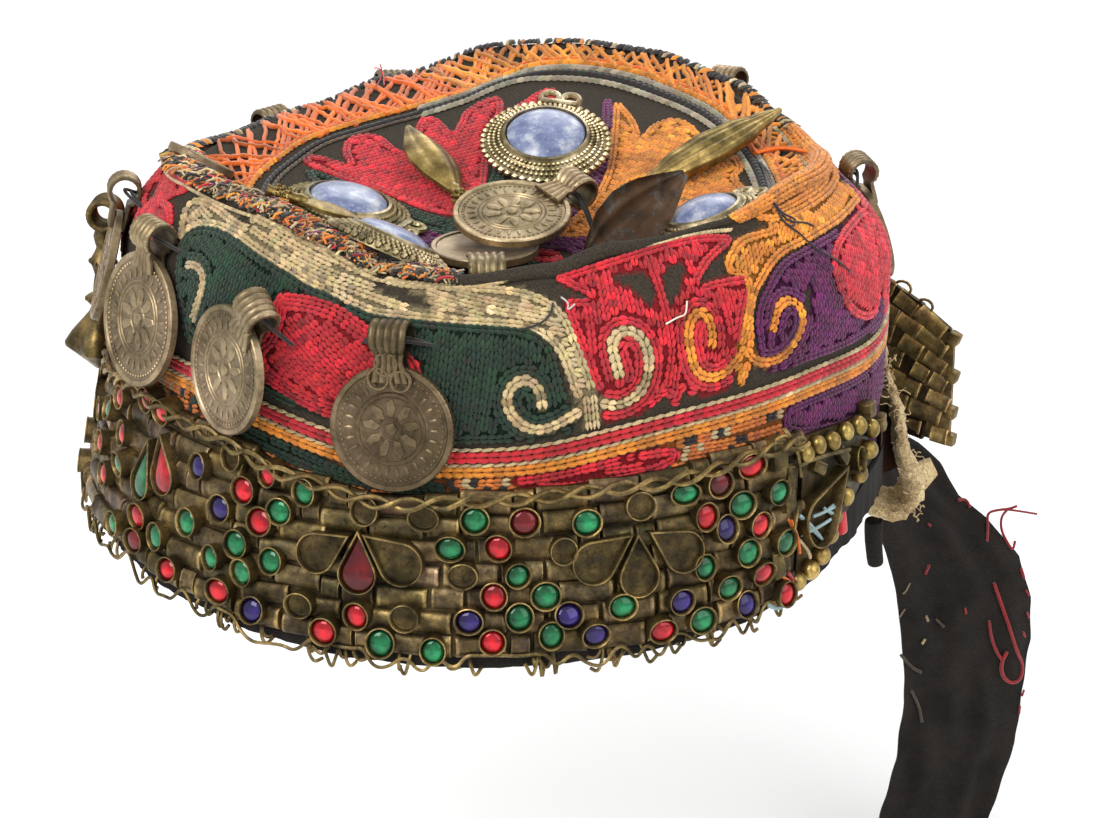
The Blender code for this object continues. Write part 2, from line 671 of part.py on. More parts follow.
def make_leaf(name, foot, tip, width, depth, turn):
    """A pressed sheet leaf, boat-shaped, with a small tube at its foot, its ridge up before it is turned."""
    foot, tip = Vector(foot) * MM, Vector(tip) * MM
    length = (tip - foot).length
    tube = 7.0 * MM
    body = length - tube
    stations = ((0.0, 0.16), (0.10, 0.42), (0.28, 0.84), (0.48, 1.0), (0.68, 0.84), (0.86, 0.46), (1.0, 0.12))
    sections = []
    for share, spread in stations:
        half = width / 2 * MM * spread
        rise = depth * MM * spread
        y = tube + share * body
        top = [Vector((-half, y, 0)), Vector((-half * 0.45, y, rise * 0.8)), Vector((0, y, rise)),
               Vector((half * 0.45, y, rise * 0.8)), Vector((half, y, 0))]
        under = [p - Vector((0, 0, LEAF_SHEET)) for p in reversed(top)]
        sections.append(top + under)
    shell = loft("shell", sections)
    stem = moved(turned("stem", [(1.6 * MM, 0.0), (1.6 * MM, tube + 2.0 * MM)], 10), spin(-90, "X"))
    mesh = fuse(name, shell, [stem])
    forward = (tip - foot).normalized()
    side = forward.cross(Vector((0, 0, 1))).normalized()
    frame = Matrix((side, forward, side.cross(forward))).transposed().to_4x4() @ spin(turn, "Y")
    frame.translation = foot
    return add_object(name, mesh, "aged_brass", frame)


def make_bud():
    """The brass bud: a loop, a stem with knobs and a four-sided bell closed to a point."""
    sides = 12
    sections = []
    for below, radius, square in BUD_RINGS:
        section = []
        for i in range(sides):
            a = 2 * math.pi * i / sides
            swell = 1 + square * 0.35 * math.cos(4 * a)
            section.append(Vector((radius * swell * math.cos(a), radius * swell * math.sin(a), -below)) * MM)
        sections.append(section)
    stem = loft("stem", sections)
    rim = []
    for a in (2 * math.pi * i / 12 for i in range(12)):
        centre = Vector((math.cos(a), 0, math.sin(a))) * 3.4 * MM
        out = Vector((math.cos(a), 0, math.sin(a)))
        rim.append([centre + (out * x + Vector((0, y, 0))) * MM for x, y in ((1, 2.4), (-1, 2.4), (-1, -2.4), (1, -2.4))])
    loop = loft("loop", rim, closed=True)
    mesh = fuse("bud_drop", stem, [loop])
    drop = BUD_BAIL_HEIGHT - BUD_WIDEST_HEIGHT
    place = wall_frame(BUD_ANGLE, BUD_WIDEST_HEIGHT)
    loop_place = place @ Vector((0, 0, BUD_STANDOFF - drop * math.tan(math.radians(BUD_LEAN))))
    loop_place.z = BUD_BAIL_HEIGHT
    frame = Matrix.Translation(loop_place) @ spin(BUD_ANGLE, "Z") @ spin(-BUD_LEAN, "X") @ spin(90, "Z")
    return add_object("bud_drop", mesh, "aged_brass", frame)


def strip_sections(path, thickness, offset_direction):
    """Rectangular sections for a sheet that follows a path of (point, near side, far side) triples."""
    sections = []
    for i, (near, far) in enumerate(path):
        before = path[max(0, i - 1)][0]
        after = path[min(len(path) - 1, i + 1)][0]
        normal = (after - before).cross(offset_direction).normalized() * (thickness / 2)
        sections.append([near + normal, far + normal, far - normal, near - normal])
    return sections


def make_cotton():
    path = []
    for x, z in COTTON_PATH:
        path.append((Vector((x * MM, COTTON_NEAR, z * MM)), Vector((x * MM, COTTON_FAR, z * MM))))
    mesh = loft("cotton_pocket", strip_sections(path, COTTON_THICK, Vector((0, 1, 0))))
    return add_object("cotton_pocket", mesh, "raw_cotton")


def make_tail():
    sections = []
    for i, (height, left_x, left_y, right_x, right_y) in enumerate(TAIL_SECTIONS):
        left = Vector((left_x, left_y, height)) * MM
        right = Vector((right_x, right_y, height)) * MM
        across = (right - left).normalized()
        normal = Vector((-across.y, across.x, 0))
        ease = min(1.0, i / 3)
        middle = []
        for k in range(TAIL_POINTS):
            share = k / (TAIL_POINTS - 1)
            wave = math.sin(share * TAIL_FOLDS * 2 * math.pi + 0.5 * i) * TAIL_FOLD_DEPTH * ease
            middle.append(left.lerp(right, share) + normal * wave)
        front = [p - normal * TAIL_THICK / 2 for p in middle]
        back = [p + normal * TAIL_THICK / 2 for p in reversed(middle)]
        sections.append(front + back)
    return add_object("cloth_tail", loft("cloth_tail", sections), "black_cloth")


def make_tie():
    points = [Vector(p) * MM for p in TIE_PATH]
    sections = []
    for i, p in enumerate(points):
        swell = (0.8, 1.0, 0.55)[i]
        sections.append([p + q * swell for q in ring_points(TIE_RADIUS, 10)])
    return add_object("tie_end", loft("tie_end", sections), "black_cloth")


def main():
    clear_scene()
    make_cap_wall()
    make_crown()
    make_hem()
    make_front_band()
    make_back_band()
    make_clasp()
    make_edge_wire()
    make_wall_coins()
    make_crown_coins()
    make_medallions()
    for name, *rest in LEAF_DROPS:
        make_leaf(name, rest[0:3], rest[3:6], rest[6], rest[7], rest[8])
    make_bud()
    make_cotton()
    make_tail()
    make_tie()


main()
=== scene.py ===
"""The looks of an embroidered cap with a sunken crown, a link band set with glass, coins, stone medallions,
leaf drops and a black cloth tail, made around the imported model.

Metres, +Z up. Angles run round the cap in degrees: 0 is the front (-Y), 90 the right-hand side as seen from
the front (+X). The wall's cloth is worked flat: u runs round it at FLAT_RADIUS, and v is the height or, where
the wall rolls in, the length along the roll.
"""

import json
import math

import bmesh
import bpy
import numpy as np
from mathutils import Matrix, Vector

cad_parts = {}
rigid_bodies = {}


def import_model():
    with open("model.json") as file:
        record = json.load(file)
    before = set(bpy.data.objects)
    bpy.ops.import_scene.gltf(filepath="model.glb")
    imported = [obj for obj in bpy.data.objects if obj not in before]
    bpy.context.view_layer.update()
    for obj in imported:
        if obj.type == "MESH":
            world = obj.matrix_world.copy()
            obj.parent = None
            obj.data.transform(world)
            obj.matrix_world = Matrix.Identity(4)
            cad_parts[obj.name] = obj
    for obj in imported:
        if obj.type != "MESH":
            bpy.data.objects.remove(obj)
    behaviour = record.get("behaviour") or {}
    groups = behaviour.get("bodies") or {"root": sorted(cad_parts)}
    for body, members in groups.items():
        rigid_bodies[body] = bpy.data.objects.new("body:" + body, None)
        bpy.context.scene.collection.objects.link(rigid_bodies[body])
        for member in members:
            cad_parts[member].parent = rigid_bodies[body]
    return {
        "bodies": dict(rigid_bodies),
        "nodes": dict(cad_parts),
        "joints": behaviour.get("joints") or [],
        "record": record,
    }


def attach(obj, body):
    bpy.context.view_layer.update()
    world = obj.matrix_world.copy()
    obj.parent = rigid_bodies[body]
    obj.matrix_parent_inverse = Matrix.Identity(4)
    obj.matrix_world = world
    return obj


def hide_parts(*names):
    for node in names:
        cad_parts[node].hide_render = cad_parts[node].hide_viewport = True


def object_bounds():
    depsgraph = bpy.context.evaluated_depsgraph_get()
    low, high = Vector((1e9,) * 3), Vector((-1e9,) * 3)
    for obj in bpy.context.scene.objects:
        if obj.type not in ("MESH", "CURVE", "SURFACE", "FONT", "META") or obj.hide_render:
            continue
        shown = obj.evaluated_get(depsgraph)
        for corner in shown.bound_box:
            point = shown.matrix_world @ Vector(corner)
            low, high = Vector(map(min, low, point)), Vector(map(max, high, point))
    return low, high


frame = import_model()
CAD_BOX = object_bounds()

MM = 0.001
UP = np.array([0.0, 0.0, 1.0])
GAP = 0.3 * MM
rng = np.random.default_rng(11)

# The camera: a view from the front, looking down at the crown, with a long lens
VIEW_DOWN = 19.5
VIEW_DISTANCE = 0.700
VIEW_AIM = (0.0135, 0.0, 0.022)
LENS_PIXELS = 2800.0              # focal length in pixels of the 1100 x 818 picture
PICTURE = (1100, 818)
SENSOR = 36.0

# The cap's wall, as the solids have it
CLOTH = 2.4 * MM
CLOTH_SUNK = 0.15 * MM
SHOULDER = 22.0 * MM
SHOULDER_ROLL = 1.8
SEAM = 78.5
SEAM_RADIUS = SEAM * MM
# angle, height of the hem's lower edge, of the band's lower edge and of the band's upper edge, in millimetres
BROW_TABLE = (
    (-180, 7.0, 10.0, 44.0), (-120, 7.0, 10.0, 43.0), (-95, 7.0, 9.5, 38.0), (-78, 6.5, 8.5, 40.0),
    (-62, 5.0, 7.0, 44.0), (-42, 1.8, 4.0, 43.0), (-28, -0.8, 1.6, 37.5), (-15, -2.4, 0.0, 35.0),
    (0, -3.2, -0.6, 37.0), (20, -2.8, 0.0, 38.8), (36, -1.6, 0.8, 41.0), (48, 1.0, 3.4, 39.5),
    (60, 5.5, 9.0, 38.0), (70, 8.5, 12.0, 37.5), (100, 9.0, 12.0, 42.0), (180, 7.0, 10.0, 44.0),
)
WALL_RADIUS = 92.8
# height, sideways shift of the centre and radius of the wall, in millimetres
WALL_SECTIONS = (
    (-10.0, -4.4, 99.3), (0.0, -3.0, 98.0), (40.0, 2.6, WALL_RADIUS), (65.0, 3.1, WALL_RADIUS),
    (90.0, 0.5, WALL_RADIUS),
)
# angle in degrees and height of the crown seam in millimetres
SEAM_HEIGHTS = (
    (-180, 97.0), (-160, 90.0), (-140, 84.5), (-120, 82.5), (-100, 84.5), (-80, 88.5), (-60, 90.5),
    (-40, 89.5), (-28, 85.0), (-18, 79.5), (-5, 78.5), (8, 80.5), (20, 84.5), (40, 86.5), (60, 89.0),
    (80, 87.0), (100, 84.5), (115, 88.0), (130, 93.5), (150, 97.5), (165, 98.5), (180, 97.5),
)
CROWN_FLOOR = 80.0 * MM
CROWN_SLOPE = 0.18
CROWN_RING = 64.0 * MM
CROWN_CLOTH = 2.0 * MM
CROWN_CENTRE_X = 0.5 * MM
HEM_CLOTH = 1.0 * MM
HEM_HEIGHT = 10.0 * MM
HEM_OVER_WALL = 1.5 * MM

# The link band
BAND_THICK = 2.2 * MM
BAND_INSET = (1.7 * MM, 0.7 * MM)
BAND_START = -150.0
BAND_END = 45.5
LINK_LENGTH = 12.4 * MM
LINK_ROWS = 7
UNIT_LINKS = 5
BAND_RADIUS = 96.0 * MM
WIRE_THICK = 0.42 * MM
FLOWER_ANGLE = -15.6
FLOWER_TABLE = ((-0.6, 0.62, 62.0), (0.0, 0.56, 0.0), (0.6, 0.62, -62.0))
DROP_LENGTH = 13.0 * MM
DROP_WIDTH = 8.4 * MM
DROP_POINTS = 22
BACK_MEET_GAP = 0.4
BACK_LEAVES = 150.0
LOOSE_SECTIONS = ((0, 7, 43), (30, 5, 44), (55, 3, 43), (65, 1, 40), (75, -2, 34), (85, -5, 27))
CLASP_START = 46.2
CLASP_END = 65.0
CLASP_RISE = 12.0 * MM
CLASP_PLATE = 1.8 * MM

# Coins, medallions, leaf drops, the bud and what hangs at the tail
COIN_THICK = 2.0 * MM
BAIL_RADIUS = 4.2 * MM
BAIL_WIDTH = 9.0 * MM
COIN_RAYS = 26
BAIL_FOOT = 3.6 * MM
# name, angle, height of the bail, diameter, lean in, swing, twist, extra stand-off and space under the bail
WALL_COINS = (
    ("coin_left", -57, 79.0, 31.0, -10, 5, 3, 0.0, 0.2),
    ("coin_left_side", -80, 80.0, 27.0, -16, -4, 0, 0.0, 1.0),
    ("coin_front_left", -32, 70.5, 29.0, -8, 34, -26, 3.6, 0.2),
    ("coin_front", -14.5, 67.5, 28.0, -7.2, -2, 0, 0.3, 1.6),
    ("coin_back_a", -136, 77.0, 28.0, -17, 3, 0, 0.0, 0.5),
    ("coin_back_b", -160, 82.5, 25.0, -17, -4, 0, 0.0, 0.5),
    ("coin_back_c", 138, 87.5, 28.0, -19, 4, 0, 0.0, 0.5),
    ("coin_side_right", 103, 75.5, 25.0, -16, -5, 0, 0.0, 0.5),
)
# name, x, y, z, diameter, direction of the bail, pitch and roll
CROWN_COINS = (
    ("coin_crown", 4.7, -33.5, 81.9, 27.5, -52, 16, 0),
    ("coin_crown_plain", -1.5, -41.5, 75.8, 25.0, 183, 2, 0),
    ("coin_rim", -70.3, -5.5, 87.5, 17.0, 178, -15, 27),
)
CROWN_COIN_HANG = 0.6 * MM
MEDAL_RADIUS = 16.0 * MM
STONE_RADIUS = 9.7 * MM
# name, x, y, z, size, direction of the loops, pitch and roll
MEDALS = (
    ("medallion_back", 12.5, 11.1, 88.5, 1.0, -12, 24, 0),
    ("medallion_left", -34.0, -24.5, 81.4, 0.95, -110, 5, 12),
    ("medallion_front", -22.0, -57.0, 81.5, 0.92, 30, -14, 24),
    ("medallion_right", 49.5, -34.5, 81.4, 0.82, -50, 2, -18),
)
# name, foot x, y, z, tip x, y, z, width, depth, turn about its length in degrees
LEAF_DROPS = (
    ("leaf_left", -6.0, -17.0, 78.8, -21.5, 16.0, 90.5, 13.0, 3.4, 12),
    ("leaf_right", 30.0, -11.5, 79.8, 71.0, 24.0, 93.0, 10.5, 2.6, 20),
    ("leaf_front", 16.5, -52.5, 72.6, 44.5, -32.0, 91.0, 15.0, 3.0, 236),
    ("leaf_rim", -50.7, -46.1, 90.8, -30.0, -44.6, 83.9, 10.0, 1.6, -8),
)
LEAF_SHEET = 0.8 * MM
BUD_ANGLE = -92.0
BUD_BAIL_HEIGHT = 74.0 * MM
BUD_WIDEST_HEIGHT = 40.0 * MM
BUD_STANDOFF = 10.3 * MM
BUD_LEAN = 5.5
COTTON_NEAR = -10.0 * MM
COTTON_FAR = 6.0 * MM
# height, left edge x and y, right edge x and y, in millimetres
TAIL_SECTIONS = (
    (15, 93.6, 31.0, 81.7, 55.5), (2, 98.0, 30.0, 97.0, 54.0), (-2, 98.2, 29.0, 106.5, 53.0),
    (-6, 98.4, 28.0, 113.0, 52.0), (-11, 99.0, 27.5, 118.5, 50.0), (-19, 100.2, 28.0, 123.0, 47.0),
    (-25, 102.0, 29.0, 131.2, 45.5), (-35, 105.0, 30.0, 140.4, 43.0), (-47, 107.5, 32.0, 144.2, 42.0),
    (-60, 109.0, 33.0, 145.4, 42.0), (-75, 110.0, 34.0, 144.0, 43.0), (-92, 108.8, 35.0, 143.0, 44.0),
    (-108, 106.0, 36.0, 138.5, 45.0), (-124, 103.5, 37.0, 135.0, 46.0),
)
TAIL_THICK = 1.4 * MM
TAIL_FOLDS = 2.5
TAIL_FOLD_DEPTH = 2.2 * MM
TIE_PATH = ((95.6, 0.0, -7.9), (95.8, 1.0, -14.0), (96.8, 2.0, -21.0))
TIE_RADIUS = 2.4 * MM

# Thread and cloth colours, as they look in daylight
THREADS = {
    "red": (0.78, 0.135, 0.185), "pink": (0.84, 0.19, 0.25), "green": (0.09, 0.20, 0.125),
    "cream": (0.77, 0.69, 0.52), "orange": (0.88, 0.55, 0.17), "burnt": (0.90, 0.43, 0.07),
    "purple": (0.37, 0.06, 0.31), "brown": (0.33, 0.27, 0.20), "charcoal": (0.225, 0.20, 0.165),
    "black": (0.15, 0.13, 0.12), "grey": (0.63, 0.60, 0.52), "white": (0.92, 0.90, 0.86),
    "flecked": (0.80, 0.45, 0.18),
}
PALE_BLUE = (0.62, 0.74, 0.76)
TAIL_RED = (0.58, 0.10, 0.12)
# Thread colours are darkened by UNDER_SHADE on the cloth under a stitched field: painted shade between the
# stitches.
UNDER_SHADE = 0.62

FLAT_RADIUS = 95.0 * MM
STITCH_WIDE = 2.1 * MM
STITCH_STEP = 1.75 * MM
STITCH_LIFT = 0.12 * MM
CORD_LIFT = 0.3 * MM


def linear(colour):
    """A daylight colour as the render's linear values."""
    c = np.asarray(colour, dtype=float)
    return np.where(c <= 0.04045, c / 12.92, ((c + 0.055) / 1.055) ** 2.4)


# Surfaces

def between(table, value, column=1):
    """The column's value in a table of rows, on straight lines between rows."""
    rows = np.array(table, dtype=float)
    return np.interp(value, rows[:, 0], rows[:, column])


def eased(table, value, column=1):
    """Like between, with an eased curve from row to row."""
    rows = np.array(table, dtype=float)
    value = np.clip(value, rows[0, 0], rows[-1, 0])
    low = np.clip(np.searchsorted(rows[:, 0], value, side="left") - 1, 0, len(rows) - 2)
    share = (value - rows[low, 0]) / (rows[low + 1, 0] - rows[low, 0])
    share = share * share * (3 - 2 * share)
    return rows[low, column] + share * (rows[low + 1, column] - rows[low, column])


def wrapped(angle):
    return (np.asarray(angle, dtype=float) + 180.0) % 360.0 - 180.0


def seam_height(angle):
    return eased(SEAM_HEIGHTS, wrapped(angle)) * MM


def brow(angle, column):
    """A height from the brow table: 1 the hem's lower edge, 2 the band's lower edge, 3 its upper edge."""
    return eased(BROW_TABLE, wrapped(angle), column) * MM


def wall_radius(angle, height):
    knuckle = seam_height(angle) - SHOULDER
    below = between(WALL_SECTIONS, np.minimum(height, knuckle) / MM, 2) * MM
    share = np.clip((height - knuckle) / SHOULDER, 0.0, 1.0)
    return SEAM_RADIUS + (below - SEAM_RADIUS) * (1 - share ** SHOULDER_ROLL)


def evened(*values):
    """Values as arrays of one length."""
    return (np.atleast_1d(v).astype(float) for v in np.broadcast_arrays(*values))


def columns(*parts):
    """Frames of shape (count, 3, 4) from three axes and an origin."""
    return np.stack(np.broadcast_arrays(*parts), axis=-1)


def wall_frames(angle, height, offset=0.0):
    """Frames on the wall's outer face: X along increasing angle, Y up the wall, Z out of it."""
    angle, height, offset = evened(angle, height, offset)
    a = np.radians(angle)
    step = 0.5 * MM
    slope = (wall_radius(angle, height + step) - wall_radius(angle, height - step)) / (2 * step)
    lean = -np.arctan(slope)[:, None]
    zero = np.zeros_like(a)
    outward = np.stack([np.sin(a), -np.cos(a), zero], axis=-1)
    along = np.stack([np.cos(a), np.sin(a), zero], axis=-1)
    normal = outward * np.cos(lean) + UP * np.sin(lean)
    climb = UP * np.cos(lean) - outward * np.sin(lean)
    centre = np.stack([between(WALL_SECTIONS, height / MM, 1) * MM, zero, height], axis=-1)
    origin = centre + outward * wall_radius(angle, height)[:, None] + normal * offset[:, None]
    return columns(along, climb, normal, origin)


def crown_point(angle, radius):
    """A place on the crown, X and Y, by its angle and distance from the middle."""
    a = np.radians(angle)
    return np.stack([CROWN_CENTRE_X + radius * np.sin(a), -radius * np.cos(a)], axis=-1)


def crown_angle(x, y):
    return np.degrees(np.arctan2(x - CROWN_CENTRE_X, -y))


def crown_height(x, y):
    radius = np.hypot(x - CROWN_CENTRE_X, y)
    floor = CROWN_FLOOR + CROWN_SLOPE * y
    angle = crown_angle(x, y)
    share = np.clip((radius - CROWN_RING) / (SEAM_RADIUS - CROWN_RING), 0.0, 1.0)
    return floor + (seam_height(angle) - 0.3 * MM - floor) * share ** 1.2


def crown_frames(x, y, offset=0.0):
    """Frames on the crown's top: X to the right, Y to the back, Z up off it."""
    x, y, offset = evened(x, y, offset)
    step = 0.5 * MM
    slope_x = (crown_height(x + step, y) - crown_height(x - step, y)) / (2 * step)
    slope_y = (crown_height(x, y + step) - crown_height(x, y - step)) / (2 * step)
    one, zero = np.ones_like(x), np.zeros_like(x)
    across = np.stack([one, zero, slope_x], axis=-1)
    across /= np.linalg.norm(across, axis=-1, keepdims=True)
    normal = np.cross(across, np.stack([zero, one, slope_y], axis=-1))
    normal /= np.linalg.norm(normal, axis=-1, keepdims=True)
    back = np.cross(normal, across)
    origin = np.stack([x, y, crown_height(x, y)], axis=-1) + normal * offset[:, None]
    return columns(across, back, normal, origin)


# The wall laid flat

ROLL_SHARES = np.linspace(0.0, 1.0, 60)
ROLL_IN = (WALL_RADIUS - SEAM) * MM
ROLL_SLOPES = np.hypot(SHOULDER, ROLL_IN * SHOULDER_ROLL * ROLL_SHARES ** (SHOULDER_ROLL - 1))
ROLL_STEPS = (ROLL_SLOPES[1:] + ROLL_SLOPES[:-1]) / 2 * np.diff(ROLL_SHARES)
ROLL_LENGTHS = np.concatenate([[0.0], np.cumsum(ROLL_STEPS)])


def flat_from(angle, height):
    """Flat coordinates (u, v) of points on the wall."""
    knuckle = seam_height(angle) - SHOULDER
    share = np.clip((height - knuckle) / SHOULDER, 0.0, 1.0)
    v = np.minimum(height, knuckle) + np.interp(share, ROLL_SHARES, ROLL_LENGTHS)
    return np.stack([np.radians(angle) * FLAT_RADIUS, v], axis=-1)


def flat_top(angle):
    return seam_height(angle) - SHOULDER + ROLL_LENGTHS[-1]


def flat_angle(flat):
    return np.degrees(flat[:, 0] / FLAT_RADIUS)


def below_rim(angle, below):
    """Flat points of the wall by their angle and their distance below the rim."""
    return np.stack([np.radians(angle) * FLAT_RADIUS, flat_top(angle) - below], axis=-1)


def from_flat(flat):
    """Angles and heights of flat points."""
    angle = flat_angle(flat)
    knuckle = seam_height(angle) - SHOULDER
    share = np.interp(flat[:, 1] - knuckle, ROLL_LENGTHS, ROLL_SHARES)
    height = np.where(flat[:, 1] <= knuckle, flat[:, 1], knuckle + share * SHOULDER)
    return angle, height


# Places read off the picture are pixels of the 1100 x 818 frame, cast on to the cap through the camera

VIEW_TILT = math.radians(VIEW_DOWN)
FORWARD = np.array([0.0, math.cos(VIEW_TILT), -math.sin(VIEW_TILT)])
UPWARD = np.array([0.0, math.sin(VIEW_TILT), math.cos(VIEW_TILT)])
EYE = np.array(VIEW_AIM) - VIEW_DISTANCE * FORWARD
RAY_REACH = (0.50, 0.86)
RAY_STEPS = 720


def rays(pixels):
    p = np.atleast_2d(np.asarray(pixels, dtype=float))
    right = np.array([1.0, 0.0, 0.0])
    across = (p[:, 0] - PICTURE[0] / 2) / LENS_PIXELS
    down = (p[:, 1] - PICTURE[1] / 2) / LENS_PIXELS
    return FORWARD + right * across[:, None] - UPWARD * down[:, None]


def first_hit(pixels, height_over):
    """Points where the rays first go below a surface, whose height_over(points) is positive above it."""
    way = rays(pixels)
    steps = np.linspace(*RAY_REACH, RAY_STEPS)
    points = EYE + way[:, None, :] * steps[None, :, None]
    over = height_over(points.reshape(-1, 3)).reshape(len(way), -1)
    below = over < 0
    found = below.any(axis=1)
    index = np.where(found, below.argmax(axis=1), 1)
    index = np.maximum(index, 1)
    picked = np.arange(len(way))
    a, b = over[picked, index - 1], over[picked, index]
    share = np.where(found, a / np.where(a - b == 0, 1, a - b), 0.0)
    depth = steps[index - 1] + share * (steps[index] - steps[index - 1])
    return EYE + way * depth[:, None], found


def over_wall(points, offset=0.0):
    angle, radius = wall_polar(points)
    height = points[:, 2]
    out = radius - wall_radius(angle, height) - offset
    clear = (height > seam_height(angle)) | (height < -14 * MM)
    return np.where(clear, 1.0, out)


def wall_polar(points):
    x = points[:, 0] - between(WALL_SECTIONS, points[:, 2] / MM, 1) * MM
    return np.degrees(np.arctan2(x, -points[:, 1])), np.hypot(x, points[:, 1])


def on_wall(pixels):
    """Flat points of the wall under pixels. A pixel past the rim takes the nearest point of the rim."""
    hit, found = first_hit(pixels, over_wall)
    angle, _ = wall_polar(hit)
    flat = flat_from(angle, np.minimum(hit[:, 2], seam_height(angle)))
    if not found.all():
        rim_angle = np.linspace(-96, 96, 385)
        rim = wall_frames(rim_angle, seam_height(rim_angle))[:, :, 3]
        seen = picture_of(rim)
        for i in np.flatnonzero(~found):
            near = np.linalg.norm(seen - np.asarray(pixels, dtype=float)[i], axis=1).argmin()
            flat[i] = np.radians(rim_angle[near]) * FLAT_RADIUS, flat_top(rim_angle[near])
    return flat


def picture_of(points):
    d = points - EYE
    depth = d @ FORWARD
    return np.stack([PICTURE[0] / 2 + LENS_PIXELS * d[:, 0] / depth,
                     PICTURE[1] / 2 - LENS_PIXELS * (d @ UPWARD) / depth], axis=-1)


def on_crown(pixels):
    hit, _ = first_hit(pixels, lambda p: p[:, 2] - crown_height(p[:, 0], p[:, 1]))
    return hit[:, :2]


def over_cap(points):
    """How far points lie outside the cap's wall or above its crown."""
    angle, radius = wall_polar(points)
    x, y, z = points.T
    outside = radius - wall_radius(angle, np.minimum(z, seam_height(angle)))
    return np.maximum(outside, z - crown_height(x, y))


def cast(pixels, over):
    """Points of a line under pixels; a pixel past the outline keeps the depth of its neighbours."""
    hit, found = first_hit(pixels, over)
    if found.any() and not found.all():
        depth = (hit - EYE) @ FORWARD
        index = np.arange(len(hit))
        depth = np.interp(index, index[found], depth[found])
        hit = EYE + rays(pixels) * depth[:, None]
    return hit


def on_cap(pixels, lift):
    return cast(pixels, lambda points: over_cap(points) - lift)


# Building pieces

class Heap:
    """Many small parts with their tints, gathered into one piece."""

    def __init__(self):
        self.points, self.faces, self.tints, self.kinds = [], [], [], []
        self.count = 0

    def add(self, shape, tint=1.0, kind=0):
        """One shape with one tint, a number or a colour, or with a tint for each of its points."""
        points, faces = shape
        points = np.asarray(points, dtype=float).reshape(-1, 3)
        self.points.append(points)
        self.tints.append(np.broadcast_to(np.asarray(tint, dtype=float), (len(points), 3)))
        self.faces.extend(tuple(i + self.count for i in face) for face in faces)
        self.kinds.extend([kind] * len(faces))
        self.count += len(points)

    def spread(self, shape, frames, tints=1.0, kind=0, painted_light=None):
        """A copy of a shape at each frame, with a tint for each copy and, for each point, a factor of painted
        highlight and shade.
        """
        points, faces = shape
        points = np.asarray(points, dtype=float)
        copies, size = len(frames), len(points)
        if copies == 0:
            return
        placed = np.einsum("nij,pj->npi", frames[:, :, :3], points) + frames[:, None, :, 3]
        self.points.append(placed.reshape(-1, 3))
        tints = np.broadcast_to(np.asarray(tints, dtype=float), (copies, 3))
        tints = np.repeat(tints, size, axis=0)
        if painted_light is not None:
            tints = tints * np.tile(painted_light, copies)[:, None]
        self.tints.append(tints)
        starts = self.count + np.arange(copies) * size
        for face in faces:
            self.faces.extend(map(tuple, (starts[:, None] + np.array(face)).tolist()))
        self.kinds.extend([kind] * (copies * len(faces)))
        self.count += copies * size

    def piece(self, name, materials, replaces=(), sharp=40.0, weld=False):
        mesh = bpy.data.meshes.new(name)
        points = np.concatenate(self.points)
        mesh.from_pydata(points.tolist(), [], self.faces)
        tints = mesh.color_attributes.new("tint", "FLOAT_COLOR", "POINT")
        values = np.ones((len(points), 4))
        values[:, :3] = np.concatenate(self.tints)
        tints.data.foreach_set("color", values.ravel())
        for made in materials:
            mesh.materials.append(made)
        mesh.polygons.foreach_set("material_index", self.kinds)
        if weld:
            work = bmesh.new()
            work.from_mesh(mesh)
            bmesh.ops.remove_doubles(work, verts=work.verts, dist=1e-6)
            bmesh.ops.recalc_face_normals(work, faces=work.faces)
            work.to_mesh(mesh)
            work.free()
        return finished(name, mesh, replaces, sharp)

    def threads(self, name, slot="embroidered_cloth"):
        """A piece of threads alone."""
        return self.piece(name, [PAINT["thread"]], sharp=None)


def finished(name, mesh, replaces=(), sharp=40.0):
    mesh.shade_smooth()
    if sharp:
        mesh.set_sharp_from_angle(angle=math.radians(sharp))
    mesh.update()
    obj = bpy.data.objects.new(name, mesh)
    bpy.context.scene.collection.objects.link(obj)
    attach(obj, "root")
    if replaces:
        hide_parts(*replaces)
    return obj


def loft(sections, closed=False, caps=True):
    """A shape through sections, each a loop of the same number of points."""
    sections = np.asarray(sections, dtype=float)
    steps, count = sections.shape[:2]
    faces = []
    for i in range(steps if closed else steps - 1):
        a, b = i * count, ((i + 1) % steps) * count
        for k in range(count):
            n = (k + 1) % count
            faces.append((a + k, a + n, b + n, b + k))
    if caps and not closed:
        faces.append(tuple(reversed(range(count))))
        faces.append(tuple(range((steps - 1) * count, steps * count)))
    return sections.reshape(-1, 3), faces


def ring(radius, sides, height=0.0):
    """Points evenly round a circle about Z."""
    a = np.arange(sides) * 2 * math.pi / sides
    return np.stack([radius * np.cos(a), radius * np.sin(a), np.full(sides, height)], axis=-1)


def turned(profile, sides, closed=False):
    """A shape turned about Z through (radius, height) pairs. A closed profile makes a ring."""
    rings = [ring(r, sides, h) for r, h in profile]
    if closed:
        rings.append(rings[0])
        return loft(np.array(rings)[::-1], caps=False)
    return loft(rings)


def tube(path, radius, sides=6, closed=False):
    """A round tube along a path. The radius is one value or one a point."""
    path = np.asarray(path, dtype=float)
    count = len(path)
    if closed:
        ahead = np.roll(path, -1, axis=0) - np.roll(path, 1, axis=0)
    else:
        ahead = np.gradient(path, axis=0)
    ahead /= np.linalg.norm(ahead, axis=1, keepdims=True) + 1e-12
    side = np.cross(ahead[0], (0.0, 0.0, 1.0))
    if np.linalg.norm(side) < 0.1:
        side = np.cross(ahead[0], (0.0, 1.0, 0.0))
    side /= np.linalg.norm(side)
    radii = np.broadcast_to(radius, (count,))
    a = np.arange(sides) * 2 * math.pi / sides
    sections = []
    for i in range(count):
        side = side - ahead[i] * (side @ ahead[i])
        side /= np.linalg.norm(side) + 1e-12
        other = np.cross(ahead[i], side)
        sections.append(path[i] + radii[i] * (np.cos(a)[:, None] * side + np.sin(a)[:, None] * other))
    return loft(sections, closed=closed)


